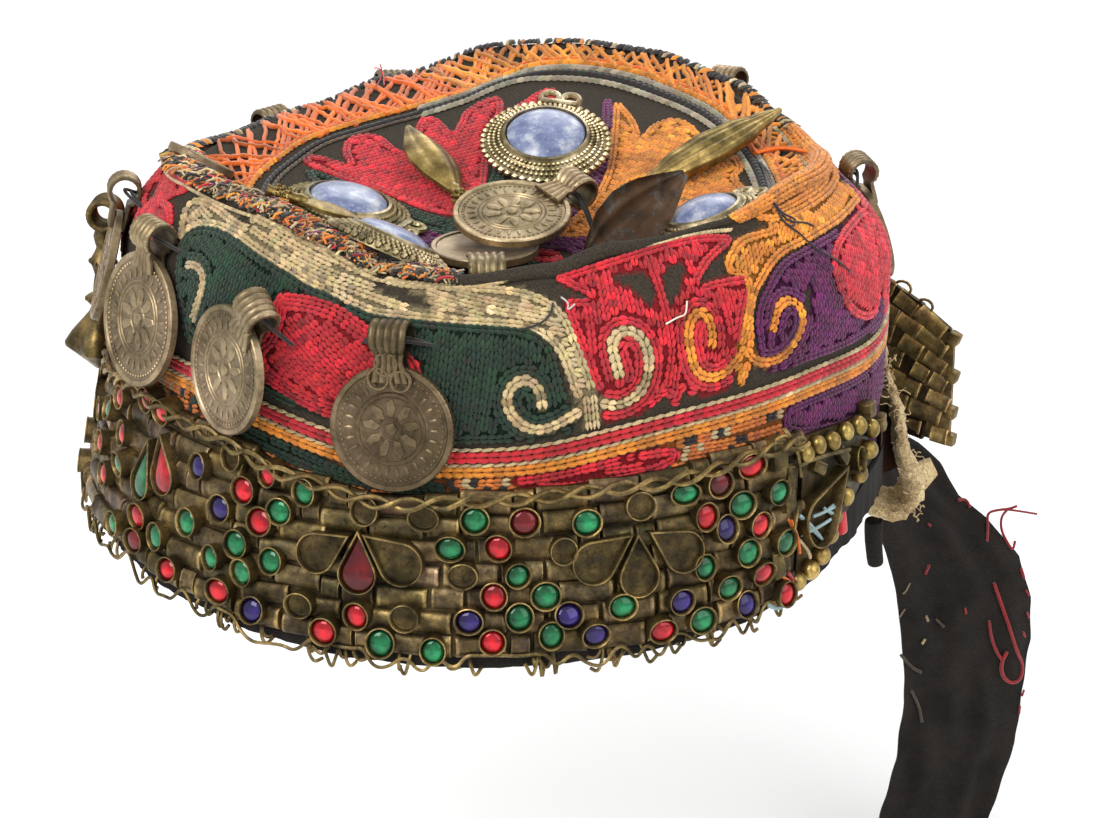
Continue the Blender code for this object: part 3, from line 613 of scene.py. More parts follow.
def from_bmesh(work):
    work.verts.index_update()
    points = np.array([v.co[:] for v in work.verts])
    faces = [tuple(v.index for v in f.verts) for f in work.faces]
    work.free()
    return points, faces


def rounded_box(size, bevel):
    work = bmesh.new()
    bmesh.ops.create_cube(work, size=1.0)
    bmesh.ops.scale(work, verts=work.verts, vec=size)
    bmesh.ops.bevel(work, geom=work.edges[:], offset=bevel, segments=2, affect="EDGES", profile=0.6)
    return from_bmesh(work)


def ball(radius, detail=1):
    work = bmesh.new()
    bmesh.ops.create_icosphere(work, subdivisions=detail, radius=radius)
    return from_bmesh(work)


def shifted(shape, by):
    points, faces = shape
    return np.asarray(points, dtype=float) + np.asarray(by, dtype=float), faces


def spun(shape, degrees, axis):
    points, faces = shape
    turn = np.array(Matrix.Rotation(math.radians(degrees), 3, axis))
    return np.asarray(points) @ turn.T, faces


def scaled(shape, by):
    points, faces = shape
    return np.asarray(points) * np.asarray(by), faces


def joined(*shapes):
    points, faces, count = [], [], 0
    for p, f in shapes:
        points.append(np.asarray(p, dtype=float))
        faces.extend(tuple(i + count for i in face) for face in f)
        count += len(p)
    return np.concatenate(points), faces


def as_frames(matrix):
    return np.array(matrix)[None, :3, :]


def axes(frames):
    """The X, Y and Z axes of frames and their origins."""
    return (frames[:, :, k] for k in range(4))


def turned_frames(frames, degrees):
    """Frames turned about their own Z."""
    a = np.radians(np.broadcast_to(degrees, (len(frames),)))[:, None]
    x, y, z, origin = axes(frames)
    return columns(x * np.cos(a) + y * np.sin(a), y * np.cos(a) - x * np.sin(a), z, origin)


def sized_frames(frames, across, along=None, up=None):
    """Frames whose axes are stretched."""
    across = np.broadcast_to(across, (len(frames),))[:, None]
    along = across if along is None else np.broadcast_to(along, (len(frames),))[:, None]
    up = across if up is None else np.broadcast_to(up, (len(frames),))[:, None]
    x, y, z, origin = axes(frames)
    return columns(x * across, y * along, z * up, origin)


# Materials

class Paint:
    """A Principled material that is put together node by node."""

    def __init__(self, name, roughness=0.8, metallic=0.0, **values):
        self.made = bpy.data.materials.new(name)
        self.made.use_nodes = True
        self.tree = self.made.node_tree
        self.shader = self.tree.nodes["Principled BSDF"]
        self.shader.inputs["Roughness"].default_value = roughness
        self.shader.inputs["Metallic"].default_value = metallic
        for key, value in values.items():
            self.shader.inputs[key.replace("_", " ")].default_value = value
        self.place = self.node("ShaderNodeTexCoord").outputs["Object"]
        self.lift = None

    def link(self, source, target):
        self.tree.links.new(source, target)

    def node(self, kind, **values):
        made = self.tree.nodes.new(kind)
        for key, value in values.items():
            setattr(made, key, value)
        return made

    def noise(self, scale, detail=3.0, rough=0.55):
        made = self.node("ShaderNodeTexNoise")
        made.inputs["Scale"].default_value = scale
        made.inputs["Detail"].default_value = detail
        made.inputs["Roughness"].default_value = rough
        self.link(self.place, made.inputs["Vector"])
        return made.outputs["Fac"]

    def ramp(self, factor, *stops):
        """A colour ramp: each stop is a place and a daylight colour."""
        made = self.node("ShaderNodeValToRGB")
        elements = made.color_ramp.elements
        while len(elements) < len(stops):
            elements.new(0.5)
        for element, (position, colour) in zip(elements, stops):
            element.position = position
            element.color = (*linear(colour), 1.0)
        self.link(factor, made.inputs["Fac"])
        return made.outputs["Color"]

    def grey(self, factor, low, high, start=0.0, end=1.0):
        made = self.node("ShaderNodeMapRange")
        made.inputs["From Min"].default_value = start
        made.inputs["From Max"].default_value = end
        made.inputs["To Min"].default_value = low
        made.inputs["To Max"].default_value = high
        self.link(factor, made.inputs["Value"])
        return made.outputs["Result"]

    def mix(self, factor, a, b, kind="MIX"):
        made = self.node("ShaderNodeMix", data_type="RGBA", blend_type=kind)
        for value, name in ((factor, 0), (a, 6), (b, 7)):
            target = made.inputs[name]
            if isinstance(value, (int, float)):
                target.default_value = value
            elif isinstance(value, tuple):
                target.default_value = (*linear(value), 1.0)
            else:
                self.link(value, target)
        return made.outputs[2]

    def tint(self):
        made = self.node("ShaderNodeAttribute", attribute_name="tint")
        return made.outputs["Color"]

    def colour(self, source):
        if isinstance(source, tuple):
            self.shader.inputs["Base Color"].default_value = (*linear(source), 1.0)
        else:
            self.link(source, self.shader.inputs["Base Color"])

    def rough(self, source):
        self.link(source, self.shader.inputs["Roughness"])

    def bump(self, height, strength=0.4, distance=0.0005):
        made = self.node("ShaderNodeBump")
        made.inputs["Strength"].default_value = strength
        made.inputs["Distance"].default_value = distance
        self.link(height, made.inputs["Height"])
        if self.lift is not None:
            self.link(self.lift, made.inputs["Normal"])
        self.lift = made.outputs["Normal"]
        self.link(self.lift, self.shader.inputs["Normal"])


def thread_paint(name):
    paint = Paint(name, roughness=0.78, Sheen_Weight=0.25, Specular_IOR_Level=0.3)
    fine = paint.noise(2600.0, 2.0, 0.6)
    wide = paint.noise(90.0, 3.0)
    shade = paint.ramp(fine, (0.25, (0.72, 0.72, 0.72)), (0.7, (1.0, 1.0, 1.0)))
    soil = paint.ramp(wide, (0.3, (0.86, 0.82, 0.78)), (0.65, (1.0, 1.0, 1.0)))
    paint.colour(paint.mix(1.0, paint.mix(1.0, paint.tint(), shade, "MULTIPLY"), soil, "MULTIPLY"))
    paint.bump(fine, 0.35, 0.00025)
    return paint.made


def cloth_paint(name, low, high, weave=1500.0, sheen=0.15, patch=160.0):
    """A woven cloth with a mottled colour."""
    paint = Paint(name, roughness=0.92, Sheen_Weight=sheen, Specular_IOR_Level=0.25)
    mottled = paint.noise(patch, 4.0, 0.6)
    fibres = paint.noise(2400.0, 2.0, 0.7)
    colour = paint.ramp(mottled, (0.3, low), (0.7, high))
    shade = paint.ramp(fibres, (0.3, (0.6, 0.6, 0.6)), (0.7, (1.0, 1.0, 1.0)))
    paint.colour(paint.mix(1.0, paint.mix(1.0, colour, shade, "MULTIPLY"), paint.tint(), "MULTIPLY"))
    made = paint.node("ShaderNodeTexWave", wave_type="BANDS", bands_direction="Z")
    made.inputs["Scale"].default_value = weave / 3.0
    made.inputs["Distortion"].default_value = 1.5
    paint.link(paint.place, made.inputs["Vector"])
    paint.bump(made.outputs["Fac"], 0.3, 0.0003)
    paint.bump(fibres, 0.35, 0.0003)
    return paint.made


def under_paint(name):
    """The cloth the stitches are sewn through, in its tint: the colour of the field on it, darkened as
    painted shade between the stitches.
    """
    paint = Paint(name, roughness=0.92, Specular_IOR_Level=0.2)
    fibres = paint.noise(2400.0, 2.0, 0.7)
    shade = paint.ramp(fibres, (0.3, (0.58, 0.58, 0.58)), (0.7, (1.08, 1.08, 1.06)))
    paint.colour(paint.mix(1.0, paint.tint(), shade, "MULTIPLY"))
    paint.bump(fibres, 0.6, 0.0005)
    return paint.made


def metal_paint(name, dark, mid, bright, roughness=(0.30, 0.55), grain=200.0, dust=0.0):
    """Old metal: blotched, with brighter, smoother rubbed patches and, where dust is given, dust specks; the
    tint it is multiplied by brings painted shade in its hollows and painted highlights on its edges.
    """
    paint = Paint(name, metallic=0.85, roughness=0.42)
    patches = paint.noise(grain, 6.0, 0.62)
    fine = paint.noise(grain * 7.0, 3.0, 0.6)
    wide = paint.noise(grain * 0.25, 3.0, 0.5)
    colour = paint.ramp(patches, (0.32, dark), (0.5, mid), (0.70, bright))
    grime = paint.ramp(fine, (0.30, (0.84, 0.82, 0.79)), (0.55, (1.0, 1.0, 1.0)))
    skin = paint.ramp(wide, (0.35, (0.80, 0.82, 0.76)), (0.6, (1.0, 1.0, 1.0)))
    colour = paint.mix(1.0, paint.mix(1.0, colour, grime, "MULTIPLY"), skin, "MULTIPLY")
    if dust > 0:
        specks = paint.noise(grain * 3.4, 4.0, 0.72)
        colour = paint.mix(paint.grey(specks, 0.0, dust, 0.55, 0.66), colour, (0.30, 0.31, 0.27))
        colour = paint.mix(paint.grey(specks, dust, 0.0, 0.34, 0.43), colour, (0.08, 0.07, 0.05))
    # The tint carries painted shade and painted highlights.
    paint.colour(paint.mix(1.0, colour, paint.tint(), "MULTIPLY"))
    paint.rough(paint.grey(patches, roughness[1], roughness[0], 0.3, 0.7))
    paint.bump(fine, 0.12, 0.00012)
    paint.bump(patches, 0.2, 0.0004)
    return paint.made


def glass_paint(name, deep, bright):
    """Foil-backed glass; its tint is a painted reflection, running from a bright patch to a dark side."""
    paint = Paint(name, roughness=0.10, metallic=0.35, Coat_Weight=0.3, Coat_Roughness=0.03,
                  Specular_IOR_Level=0.35)
    patches = paint.noise(500.0, 2.0)
    colour = paint.ramp(patches, (0.3, deep), (0.7, bright))
    paint.colour(paint.mix(1.0, colour, paint.tint(), "MULTIPLY"))
    return paint.made


def lapis_paint(name):
    paint = Paint(name, roughness=0.26, Coat_Weight=0.15, Coat_Roughness=0.12, Specular_IOR_Level=0.4)
    clouds = paint.noise(240.0, 5.0, 0.6)
    flecks = paint.noise(1500.0, 2.0, 0.7)
    # The pale grey clouds are partly the stone's pale veins and partly a painted sheen.
    colour = paint.ramp(clouds, (0.28, (0.27, 0.31, 0.45)), (0.5, (0.41, 0.45, 0.57)),
                        (0.70, (0.68, 0.69, 0.71)))
    paint.colour(paint.mix(paint.grey(flecks, 0.0, 0.5, 0.6, 0.75), colour, (0.80, 0.80, 0.84)))
    paint.bump(flecks, 0.1, 0.0002)
    return paint.made


PAINT = {
    "thread": thread_paint("embroidery_thread"),
    "under": under_paint("embroidered_ground"),
    "black": cloth_paint("black_cloth", (0.085, 0.075, 0.068), (0.16, 0.14, 0.115), sheen=0.0, patch=45.0),
    "lining": cloth_paint("lining_cotton", (0.60, 0.54, 0.44), (0.74, 0.69, 0.60)),
    "tail": cloth_paint("tail_black", (0.08, 0.07, 0.065), (0.17, 0.145, 0.125), sheen=0.0, patch=80.0),
    # The pocket's dark brown is partly its cloth's colour and partly painted shade of the hollow behind the
    # cotton.
    "pocket": cloth_paint("pocket_inside", (0.19, 0.11, 0.06), (0.36, 0.23, 0.14), sheen=0.0, patch=90.0),
    "cotton": cloth_paint("raw_cotton", (0.66, 0.52, 0.33), (0.95, 0.86, 0.66), weave=1100.0),
    "brass": metal_paint("aged_brass", (0.25, 0.205, 0.135), (0.42, 0.35, 0.22), (0.62, 0.52, 0.32),
                         (0.38, 0.62), dust=0.55),
    "gold": metal_paint("rubbed_brass", (0.36, 0.29, 0.16), (0.55, 0.46, 0.26), (0.72, 0.62, 0.38),
                        (0.24, 0.42)),
    "silver": metal_paint("old_silver", (0.40, 0.35, 0.26), (0.66, 0.59, 0.46), (0.84, 0.78, 0.64),
                          (0.24, 0.42)),
    "nickel": metal_paint("coin_nickel", (0.47, 0.41, 0.335), (0.62, 0.545, 0.45), (0.71, 0.635, 0.53),
                          (0.36, 0.52), 120.0),
    "red_glass": glass_paint("red_glass", (0.50, 0.015, 0.06), (0.78, 0.05, 0.12)),
    "dark_glass": glass_paint("dark_red_glass", (0.27, 0.015, 0.035), (0.42, 0.03, 0.06)),
    "green_glass": glass_paint("green_glass", (0.01, 0.28, 0.15), (0.05, 0.48, 0.28)),
    "blue_glass": glass_paint("violet_glass", (0.10, 0.05, 0.27), (0.17, 0.10, 0.40)),
    "lapis": lapis_paint("lapis"),
}
# The place of each glass in SETTING_PAINTS: red, dark red, green and violet blue
KEYS = {"R": 1, "D": 2, "G": 3, "B": 4}
SETTING_PAINTS = [PAINT[name] for name in ("brass", "red_glass", "dark_glass", "green_glass", "blue_glass")]


# Stitches

def lobe(side, low, middle, high, wide, tall):
    """One plump half of a chain stitch, for a stitch 2 wide and 2 long."""
    points = [(side * low[0], low[1], 0.05)]
    for x, y, swell in ((middle[0] * 0.72 + low[0] * 0.28, middle[1] - 0.5, 0.86),
                        (middle[0], middle[1] + 0.35, 1.0)):
        out, rise = wide * swell, tall * swell
        points += [(side * (x - out), y, 0.0), (side * (x - out * 0.35), y + 0.05, rise),
                   (side * (x + out * 0.45), y, rise * 0.9), (side * (x + out), y - 0.06, 0.0)]
    points.append((side * high[0], high[1], 0.10))
    faces = [(0, 2, 1), (0, 3, 2), (0, 4, 3), (9, 5, 6), (9, 6, 7), (9, 7, 8)]
    faces += [(1, 2, 6, 5), (2, 3, 7, 6), (3, 4, 8, 7)]
    if side < 0:
        faces = [tuple(reversed(f)) for f in faces]
    return np.array(points), faces


STITCH = joined(lobe(-1, (0.12, -1.15), (0.54, 0.0), (0.50, 1.25), 0.50, 0.62),
                lobe(1, (0.12, -1.15), (0.54, 0.0), (0.50, 1.25), 0.50, 0.62))
SHORT_STITCH = lobe(1, (0.0, -1.1), (0.0, 0.0), (0.0, 1.1), 0.80, 0.70)


def shaded(name, count, spread=0.10):
    """Tints for a number of stitches of one thread, each a little different."""
    base = np.array(THREADS[name]) * (1 + rng.normal(0, spread, (count, 1)))
    tints = np.clip(base + rng.normal(0, 0.012, (count, 3)), 0.01, 1)
    if name == "flecked":
        pick = rng.random(count)
        tints[pick > 0.66] = THREADS["black"]
        tints[pick > 0.90] = THREADS["cream"]
    if name == "green":
        tints[rng.random(count) > 0.93] = (0.14, 0.17, 0.10)
    return linear(tints)


def resampled(path, step):
    """Points at an even step along a polyline, and the direction there in degrees."""
    path = np.asarray(path, dtype=float)
    legs = np.linalg.norm(np.diff(path, axis=0), axis=1)
    run = np.concatenate([[0.0], np.cumsum(legs)])
    count = max(2, int(run[-1] / step) + 1)
    at = np.linspace(0.0, run[-1], count)
    points = np.stack([np.interp(at, run, path[:, k]) for k in range(path.shape[1])], axis=-1)
    ahead = np.gradient(points, axis=0)
    return points, np.degrees(np.arctan2(ahead[:, 1], ahead[:, 0]))


def smooth_line(path, closed=False, rounds=2):
    """A polyline with its corners cut, so it curves."""
    path = np.asarray(path, dtype=float)
    for _ in range(rounds):
        after = np.roll(path, -1, axis=0) if closed else path[1:]
        before = path if closed else path[:-1]
        cut = np.stack([before * 0.75 + after * 0.25, before * 0.25 + after * 0.75], axis=1)
        cut = cut.reshape(-1, path.shape[1])
        path = cut if closed else np.concatenate([path[:1], cut, path[-1:]])
    return path


def offset_line(path, by):
    """A polyline moved sideways, to its left where by is positive."""
    path = np.asarray(path, dtype=float)
    ahead = np.gradient(path, axis=0)
    ahead /= np.linalg.norm(ahead, axis=1, keepdims=True) + 1e-12
    return path + np.stack([-ahead[:, 1], ahead[:, 0]], axis=-1) * by


def inside(polygon, points):
    """Which points lie inside a polygon, by the even-odd rule."""
    x, y = points[:, 0], points[:, 1]
    within = np.zeros(len(points), dtype=bool)
    before = polygon[-1]
    for corner in polygon:
        crosses = (corner[1] > y) != (before[1] > y)
        rise = before[1] - corner[1]
        at = corner[0] + (y - corner[1]) * (before[0] - corner[0]) / (rise if rise else 1e-12)
        within ^= crosses & (x < at)
        before = corner
    return within


def near_line(path, points, reach):
    """Which points lie within reach of a polyline."""
    within = np.zeros(len(points), dtype=bool)
    for a, b in zip(path[:-1], path[1:]):
        leg = b - a
        share = np.clip(((points - a) @ leg) / (leg @ leg + 1e-15), 0, 1)
        within |= np.linalg.norm(points - a - share[:, None] * leg, axis=1) < reach
    return within


class Cloth:
    """An embroidered cloth laid flat: shapes are laid over each other, then filled with rows of stitches."""

    def __init__(self, low, high, grain=0.35 * MM):
        self.low, self.grain = np.array(low), grain
        self.size = np.ceil((np.array(high) - self.low) / grain).astype(int)
        self.labels = np.full(tuple(self.size), -1)
        self.shapes = []

    def mark(self, polygon, reach=None):
        margin = (reach or 0) + self.grain
        low = np.clip(((polygon.min(axis=0) - margin - self.low) / self.grain).astype(int), 0, self.size)
        high = np.clip(((polygon.max(axis=0) + margin - self.low) / self.grain).astype(int) + 1, 0, self.size)
        if (high <= low).any():
            return
        i, k = np.meshgrid(np.arange(low[0], high[0]), np.arange(low[1], high[1]), indexing="ij")
        points = np.stack([i, k], axis=-1).reshape(-1, 2) * self.grain + self.low
        hit = near_line(polygon, points, reach) if reach else inside(polygon, points)
        block = self.labels[low[0]:high[0], low[1]:high[1]]
        block[hit.reshape(block.shape)] = len(self.shapes) - 1

    def area(self, thread, outline, rows=90.0, edge=1, soft=2):
        """A filled shape: rows is the fill's direction in degrees, edge how many rows follow the outline."""
        outline = smooth_line(outline, closed=True, rounds=soft)
        self.shapes.append(("area", thread, outline, rows, edge))
        self.mark(outline)

    def stroke(self, thread, path, width, lines=1, soft=2):
        """A line of stitches, lines rows wide."""
        path = smooth_line(path, rounds=soft)
        self.shapes.append(("stroke", thread, path, width, lines))
        self.mark(path, width / 2)

    def label_at(self, points):
        cell = np.round((points - self.low) / self.grain).astype(int)
        safe = np.clip(cell, 0, self.size - 1)
        found = self.labels[safe[:, 0], safe[:, 1]]
        return np.where((cell == safe).all(axis=1), found, -9)

    def inner(self, number, points, margin):
        """Which points have the shape's own label all round them at a margin."""
        kept = self.label_at(points) == number
        for a in np.arange(8) * math.pi / 4:
            kept &= self.label_at(points + margin * np.array([math.cos(a), math.sin(a)])) == number
        return kept

    def echo(self, number, above):
        """A row of a field's own stitches along each side of a line that lies on it."""
        kind, _, path, width, _ = above
        if kind != "stroke":
            return np.zeros((0, 2)), np.zeros(0)
        places, ahead = [], []
        for side in (-1, 1):
            line = offset_line(path, side * (width / 2 + STITCH_WIDE * 0.5))
            at, way = resampled(line, STITCH_STEP)
            kept = self.inner(number, at, 0.34 * STITCH_WIDE)
            places.append(at[kept])
            ahead.append(way[kept])
        return np.concatenate(places), np.concatenate(ahead)

    def rows(self):
        """Every stitch as (place, direction, width, thread)."""
        made = []
        for number, (kind, thread, path, value, count) in enumerate(self.shapes):
            if thread == "bare":
                continue
            if kind == "stroke":
                for line in range(count):
                    off = (line - (count - 1) / 2) * value / count
                    places, ahead = resampled(offset_line(path, off) if off else path, STITCH_STEP)
                    kept = self.label_at(places) == number
                    made.append((places[kept], ahead[kept], value / count, thread))
                continue
            taken = [np.zeros((0, 2))]
            for above in self.shapes[number + 1:]:
                places, ahead = self.echo(number, above)
                clear = apart(places, np.concatenate(taken), STITCH_WIDE * 0.8)
                made.append((places[clear], ahead[clear], STITCH_WIDE, thread))
                taken.append(places[clear])
            closed = np.concatenate([path, path[:1]])
            turn = 1 if signed_area(path) > 0 else -1
            for line in range(count):
                inset = (0.42 + line) * STITCH_WIDE * 0.95
                places, ahead = resampled(offset_line(closed, turn * inset), STITCH_STEP)
                kept = self.inner(number, places, 0.26 * STITCH_WIDE)
                kept[kept] = apart(places[kept], np.concatenate(taken), STITCH_WIDE * 0.8)
                made.append((places[kept], ahead[kept], STITCH_WIDE, thread))
                taken.append(places[kept])
            made.append(self.hatch(number, path, value, np.concatenate(taken), thread))
        return made

    def hatch(self, number, outline, direction, taken, thread):
        a = math.radians(direction)
        ahead, across = np.array([math.cos(a), math.sin(a)]), np.array([-math.sin(a), math.cos(a)])
        s, t = outline @ ahead, outline @ across
        rows = np.arange(t.min(), t.max(), STITCH_WIDE * 0.94)
        places = []
        for i, row in enumerate(rows):
            along = np.arange(s.min() + (i % 3) * 0.3 * STITCH_STEP, s.max(), STITCH_STEP)
            wave = 0.25 * MM * np.sin(along / (7 * MM) + row / (5 * MM))
            places.append(along[:, None] * ahead + (row + wave)[:, None] * across)
        places = np.concatenate(places) if places else np.zeros((0, 2))
        kept = self.inner(number, places, 0.30 * STITCH_WIDE)
        kept[kept] = apart(places[kept], taken, STITCH_WIDE * 0.74)
        return places[kept], np.full(kept.sum(), direction), STITCH_WIDE, thread

    def under(self, points):
        """The tint of the cloth under the stitches at flat points: each field's thread colour darkened as
        painted shade between its stitches, charcoal where the cloth is bare.
        """
        table = [THREADS[thread if thread != "bare" else "charcoal"] for _, thread, *_ in self.shapes]
        shade = [1.0 if thread == "bare" else UNDER_SHADE for _, thread, *_ in self.shapes]
        tints = np.array([c * k for c, k in zip(np.array(table), shade)] + [THREADS["charcoal"]])
        found = self.label_at(points)
        return linear(tints[np.where(found < 0, len(table), found)])


def apart(points, others, reach):
    """Which points lie farther than reach from all the others."""
    if len(points) == 0 or len(others) == 0:
        return np.ones(len(points), dtype=bool)
    gap = ((points[:, None, :] - others[None, :, :]) ** 2).sum(axis=-1).min(axis=1)
    return gap > reach * reach


def signed_area(path):
    x, y = path[:, 0], path[:, 1]
    return 0.5 * np.sum(x * np.roll(y, -1) - np.roll(x, -1) * y)


def sew(heap, batches, frames_at, mirror=None):
    """Stitches laid on a surface. mirror turns flat places and directions into those of the other half."""
    for places, ahead, width, thread in batches:
        if len(places) == 0:
            continue
        if mirror:
            places, ahead = mirror(places, ahead)
        frames = frames_at(places, STITCH_LIFT)
        frames = turned_frames(frames, ahead - 90.0 + rng.normal(0, 5.0, len(places)))
        swell = 1 + rng.normal(0, 0.07, len(places))
        frames = sized_frames(frames, width / 2 * 1.02 * swell, STITCH_STEP / 2 * 1.18 * swell, 1.0 * MM)
        heap.spread(STITCH, frames, shaded(thread, len(places)))


# What is sewn on the wall, as pixels of the picture

GREEN_FIELD = (
    (180, 250), (188, 232), (202, 226), (218, 228), (237, 237), (259, 254), (285, 271), (311, 287),
    (328, 293), (356, 308), (376, 316), (408, 319), (445, 323), (511, 327), (528, 330), (541, 336),
    (553, 349), (558, 372), (566, 400), (578, 438), (540, 440), (500, 445), (455, 447), (400, 440),
    (337, 421), (293, 407), (241, 377), (205, 352), (186, 340), (181, 300),
)
RED_OVAL = (
    (276, 298), (283, 293), (310, 296), (332, 302), (350, 312), (364, 324), (384, 334), (408, 350),
    (424, 374), (418, 400), (390, 420), (335, 420), (315, 412), (285, 395), (261, 378), (252, 358),
    (254, 341), (268, 330),
)
CREAM_CURL = ((189, 265), (197, 265), (204, 274), (204, 286), (199, 302), (194, 317))
CREAM_BAND = (
    (180, 242), (181, 222), (187, 204), (200, 197), (218, 204), (238, 221), (252, 227), (252, 211),
    (272, 222), (300, 230), (322, 243), (348, 263), (367, 270), (402, 281), (428, 283), (470, 284),
    (520, 288), (550, 300), (566, 314), (577, 339), (588, 369), (597, 390), (597, 410), (586, 412),
    (574, 396), (566, 372), (560, 356), (552, 344), (541, 336), (528, 330), (511, 327), (445, 323),
    (408, 319), (376, 316), (356, 308), (328, 293), (311, 287), (285, 271), (259, 254), (237, 237),
    (218, 228), (202, 226), (188, 231),
)
BAND_SLIT = ((366, 275), (402, 287), (434, 303), (431, 309), (408, 306), (384, 297))
LEFT_NOTCH = ((200, 190), (222, 197), (246, 212), (250, 224), (236, 216), (216, 201))
RED_SHOULDER = (
    (134, 178), (150, 190), (158, 200), (166, 200), (173, 206), (174, 226), (160, 250), (138, 252),
    (130, 215),
)
RED_FLOWER = (
    (140, 172), (150, 163), (172, 160), (186, 168), (196, 182), (190, 191), (175, 196), (162, 204),
    (154, 214), (149, 240), (141, 240), (134, 220), (132, 192),
)
FLOWER_SLIT = ((164, 168), (161, 184), (151, 203), (147, 196), (151, 178))
RED_FIGURE = (
    (554, 277), (577, 270), (632, 252), (668, 240), (701, 235), (729, 236), (733, 241), (710, 261),
    (701, 277), (697, 287), (712, 281), (749, 275), (748, 289), (741, 318), (737, 346), (737, 380),
    (724, 392), (705, 397), (689, 394), (681, 387), (680, 410), (672, 410), (668, 392), (655, 404),
    (639, 417), (620, 424), (603, 422), (600, 408), (604, 398), (594, 385), (581, 351), (568, 315),
    (565, 299), (598, 300), (566, 285),
)
FIGURE_HOLES = (
    ((604, 277), (650, 269), (657, 309), (648, 306), (630, 289)),
    ((660, 268), (689, 262), (680, 290), (669, 311)),
)
ORANGE_FIGURE = (
    (726, 257), (737, 238), (760, 231), (772, 229), (765, 220), (783, 214), (804, 205), (827, 193),
    (842, 172), (856, 184), (859, 197), (850, 211), (825, 231), (804, 244), (783, 254), (770, 270),
    (763, 283), (756, 294), (751, 318), (752, 345), (751, 360), (743, 386), (738, 384), (735, 352),
    (741, 328), (745, 305), (747, 279), (731, 275), (724, 268),
)
ORANGE_LEAF = ((821, 180), (832, 170), (842, 168), (836, 178), (826, 184))
PURPLE_FIELD = (
    (767, 284), (775, 268), (786, 257), (806, 247), (827, 234), (853, 213), (862, 196), (872, 205),
    (879, 262), (877, 322), (845, 346), (806, 360), (781, 372), (757, 371), (759, 350), (755, 330),
    (756, 306),
)
PINK_OVAL = (
    (861, 206), (846, 222), (832, 243), (830, 266), (838, 295), (850, 314), (864, 321), (876, 314),
    (880, 282), (878, 247), (871, 220),
)
PURPLE_SLIT = ((805, 290), (813, 289), (809, 316), (803, 310))
LEFT_SPIRAL = (
    (584, 409), (573, 415), (560, 423), (543, 430), (528, 429), (515, 420), (507, 407), (507, 395),
    (513, 384), (525, 379), (535, 384), (541, 394), (542, 404),
)
RIGHT_SPIRAL = (
    (597, 401), (611, 406), (625, 403), (639, 394), (647, 380), (649, 360), (645, 342), (634, 331),
    (620, 331), (612, 341), (613, 355), (619, 374),
)
CREAM_STEM = ((590, 400), (592, 420), (594, 441))
LEFT_CURL = (
    (743, 350), (735, 362), (721, 376), (705, 378), (694, 369), (688, 346), (688, 325), (696, 312),
    (705, 312), (712, 328), (712, 343),
)
RIGHT_CURL = (
    (748, 352), (753, 360), (765, 363), (781, 358), (795, 342), (803, 321), (799, 305), (788, 299),
    (777, 307), (773, 328),
)
STRIPE_LINE = (
    (150, 340), (190, 362), (241, 390), (293, 415), (337, 433), (400, 447), (470, 450), (540, 446),
    (600, 431), (668, 413), (720, 400), (770, 385), (820, 364), (870, 340),
)
RED_LOZENGES = (
    (500, 486), (530, 470), (580, 463), (640, 452), (672, 447), (681, 452), (676, 462), (640, 478),
    (600, 486), (560, 492),
)
PURPLE_FOOT = (
    (783, 411), (810, 392), (840, 378), (868, 361), (869, 400), (855, 422), (800, 436), (783, 432),
)
GREEN_FOOT = (
    (196, 392), (241, 420), (300, 448), (337, 466), (400, 478), (445, 482), (445, 500), (330, 480),
    (240, 436), (190, 402),
)

# On the crown
RED_PETAL = (
    (301, 158), (310, 156), (329, 159), (351, 168), (342, 153), (347, 139), (368, 134), (384, 139),
    (400, 154), (412, 150), (418, 119), (434, 118), (444, 125), (452, 136), (459, 125), (463, 113),
    (483, 101), (499, 97), (504, 105), (501, 119), (490, 135), (486, 190), (477, 202), (461, 218),
    (428, 212), (404, 202), (376, 190), (349, 182), (329, 174), (307, 166),
)
RED_TIP = ((508, 113), (545, 88), (560, 92), (556, 170), (520, 188))
GREEN_SIDE = (
    (303, 168), (330, 177), (376, 194), (404, 206), (428, 216), (460, 224), (490, 185), (500, 150),
    (508, 160), (500, 200), (480, 232), (440, 236), (400, 222), (350, 202), (312, 184),
)
ORANGE_PETAL = (
    (614, 101), (624, 108), (636, 122), (641, 139), (650, 128), (657, 123), (674, 119), (690, 124),
    (704, 140), (722, 147), (740, 160), (744, 170), (735, 178), (748, 192), (757, 200), (756, 214),
    (740, 226), (690, 234), (640, 236), (575, 238), (553, 238), (570, 222), (592, 200), (603, 182),
    (608, 165), (612, 130),
)
PURPLE_SIDE = (
    (603, 99), (614, 101), (612, 165), (603, 186), (575, 225), (560, 238), (640, 238), (690, 236),
    (690, 243), (575, 250), (536, 250), (524, 236), (560, 190), (592, 160), (602, 130),
)


def spots(*places):
    """Flat points of the wall by their angles and their distances below the rim, in millimetres."""
    angle, below = np.array(places, dtype=float).T
    return below_rim(angle, below * MM)


def stripe_curve():
    """The upper edge of the stripes round the front half, as flat points."""
    flat = on_wall(STRIPE_LINE)
    u = np.radians(np.linspace(-97, 97, 300)) * FLAT_RADIUS
    v = np.interp(u, flat[:, 0], flat[:, 1])
    kernel = np.ones(15) / 15
    v = np.convolve(np.pad(v, 7, mode="edge"), kernel, mode="valid")
    return np.stack([u, v], axis=-1)


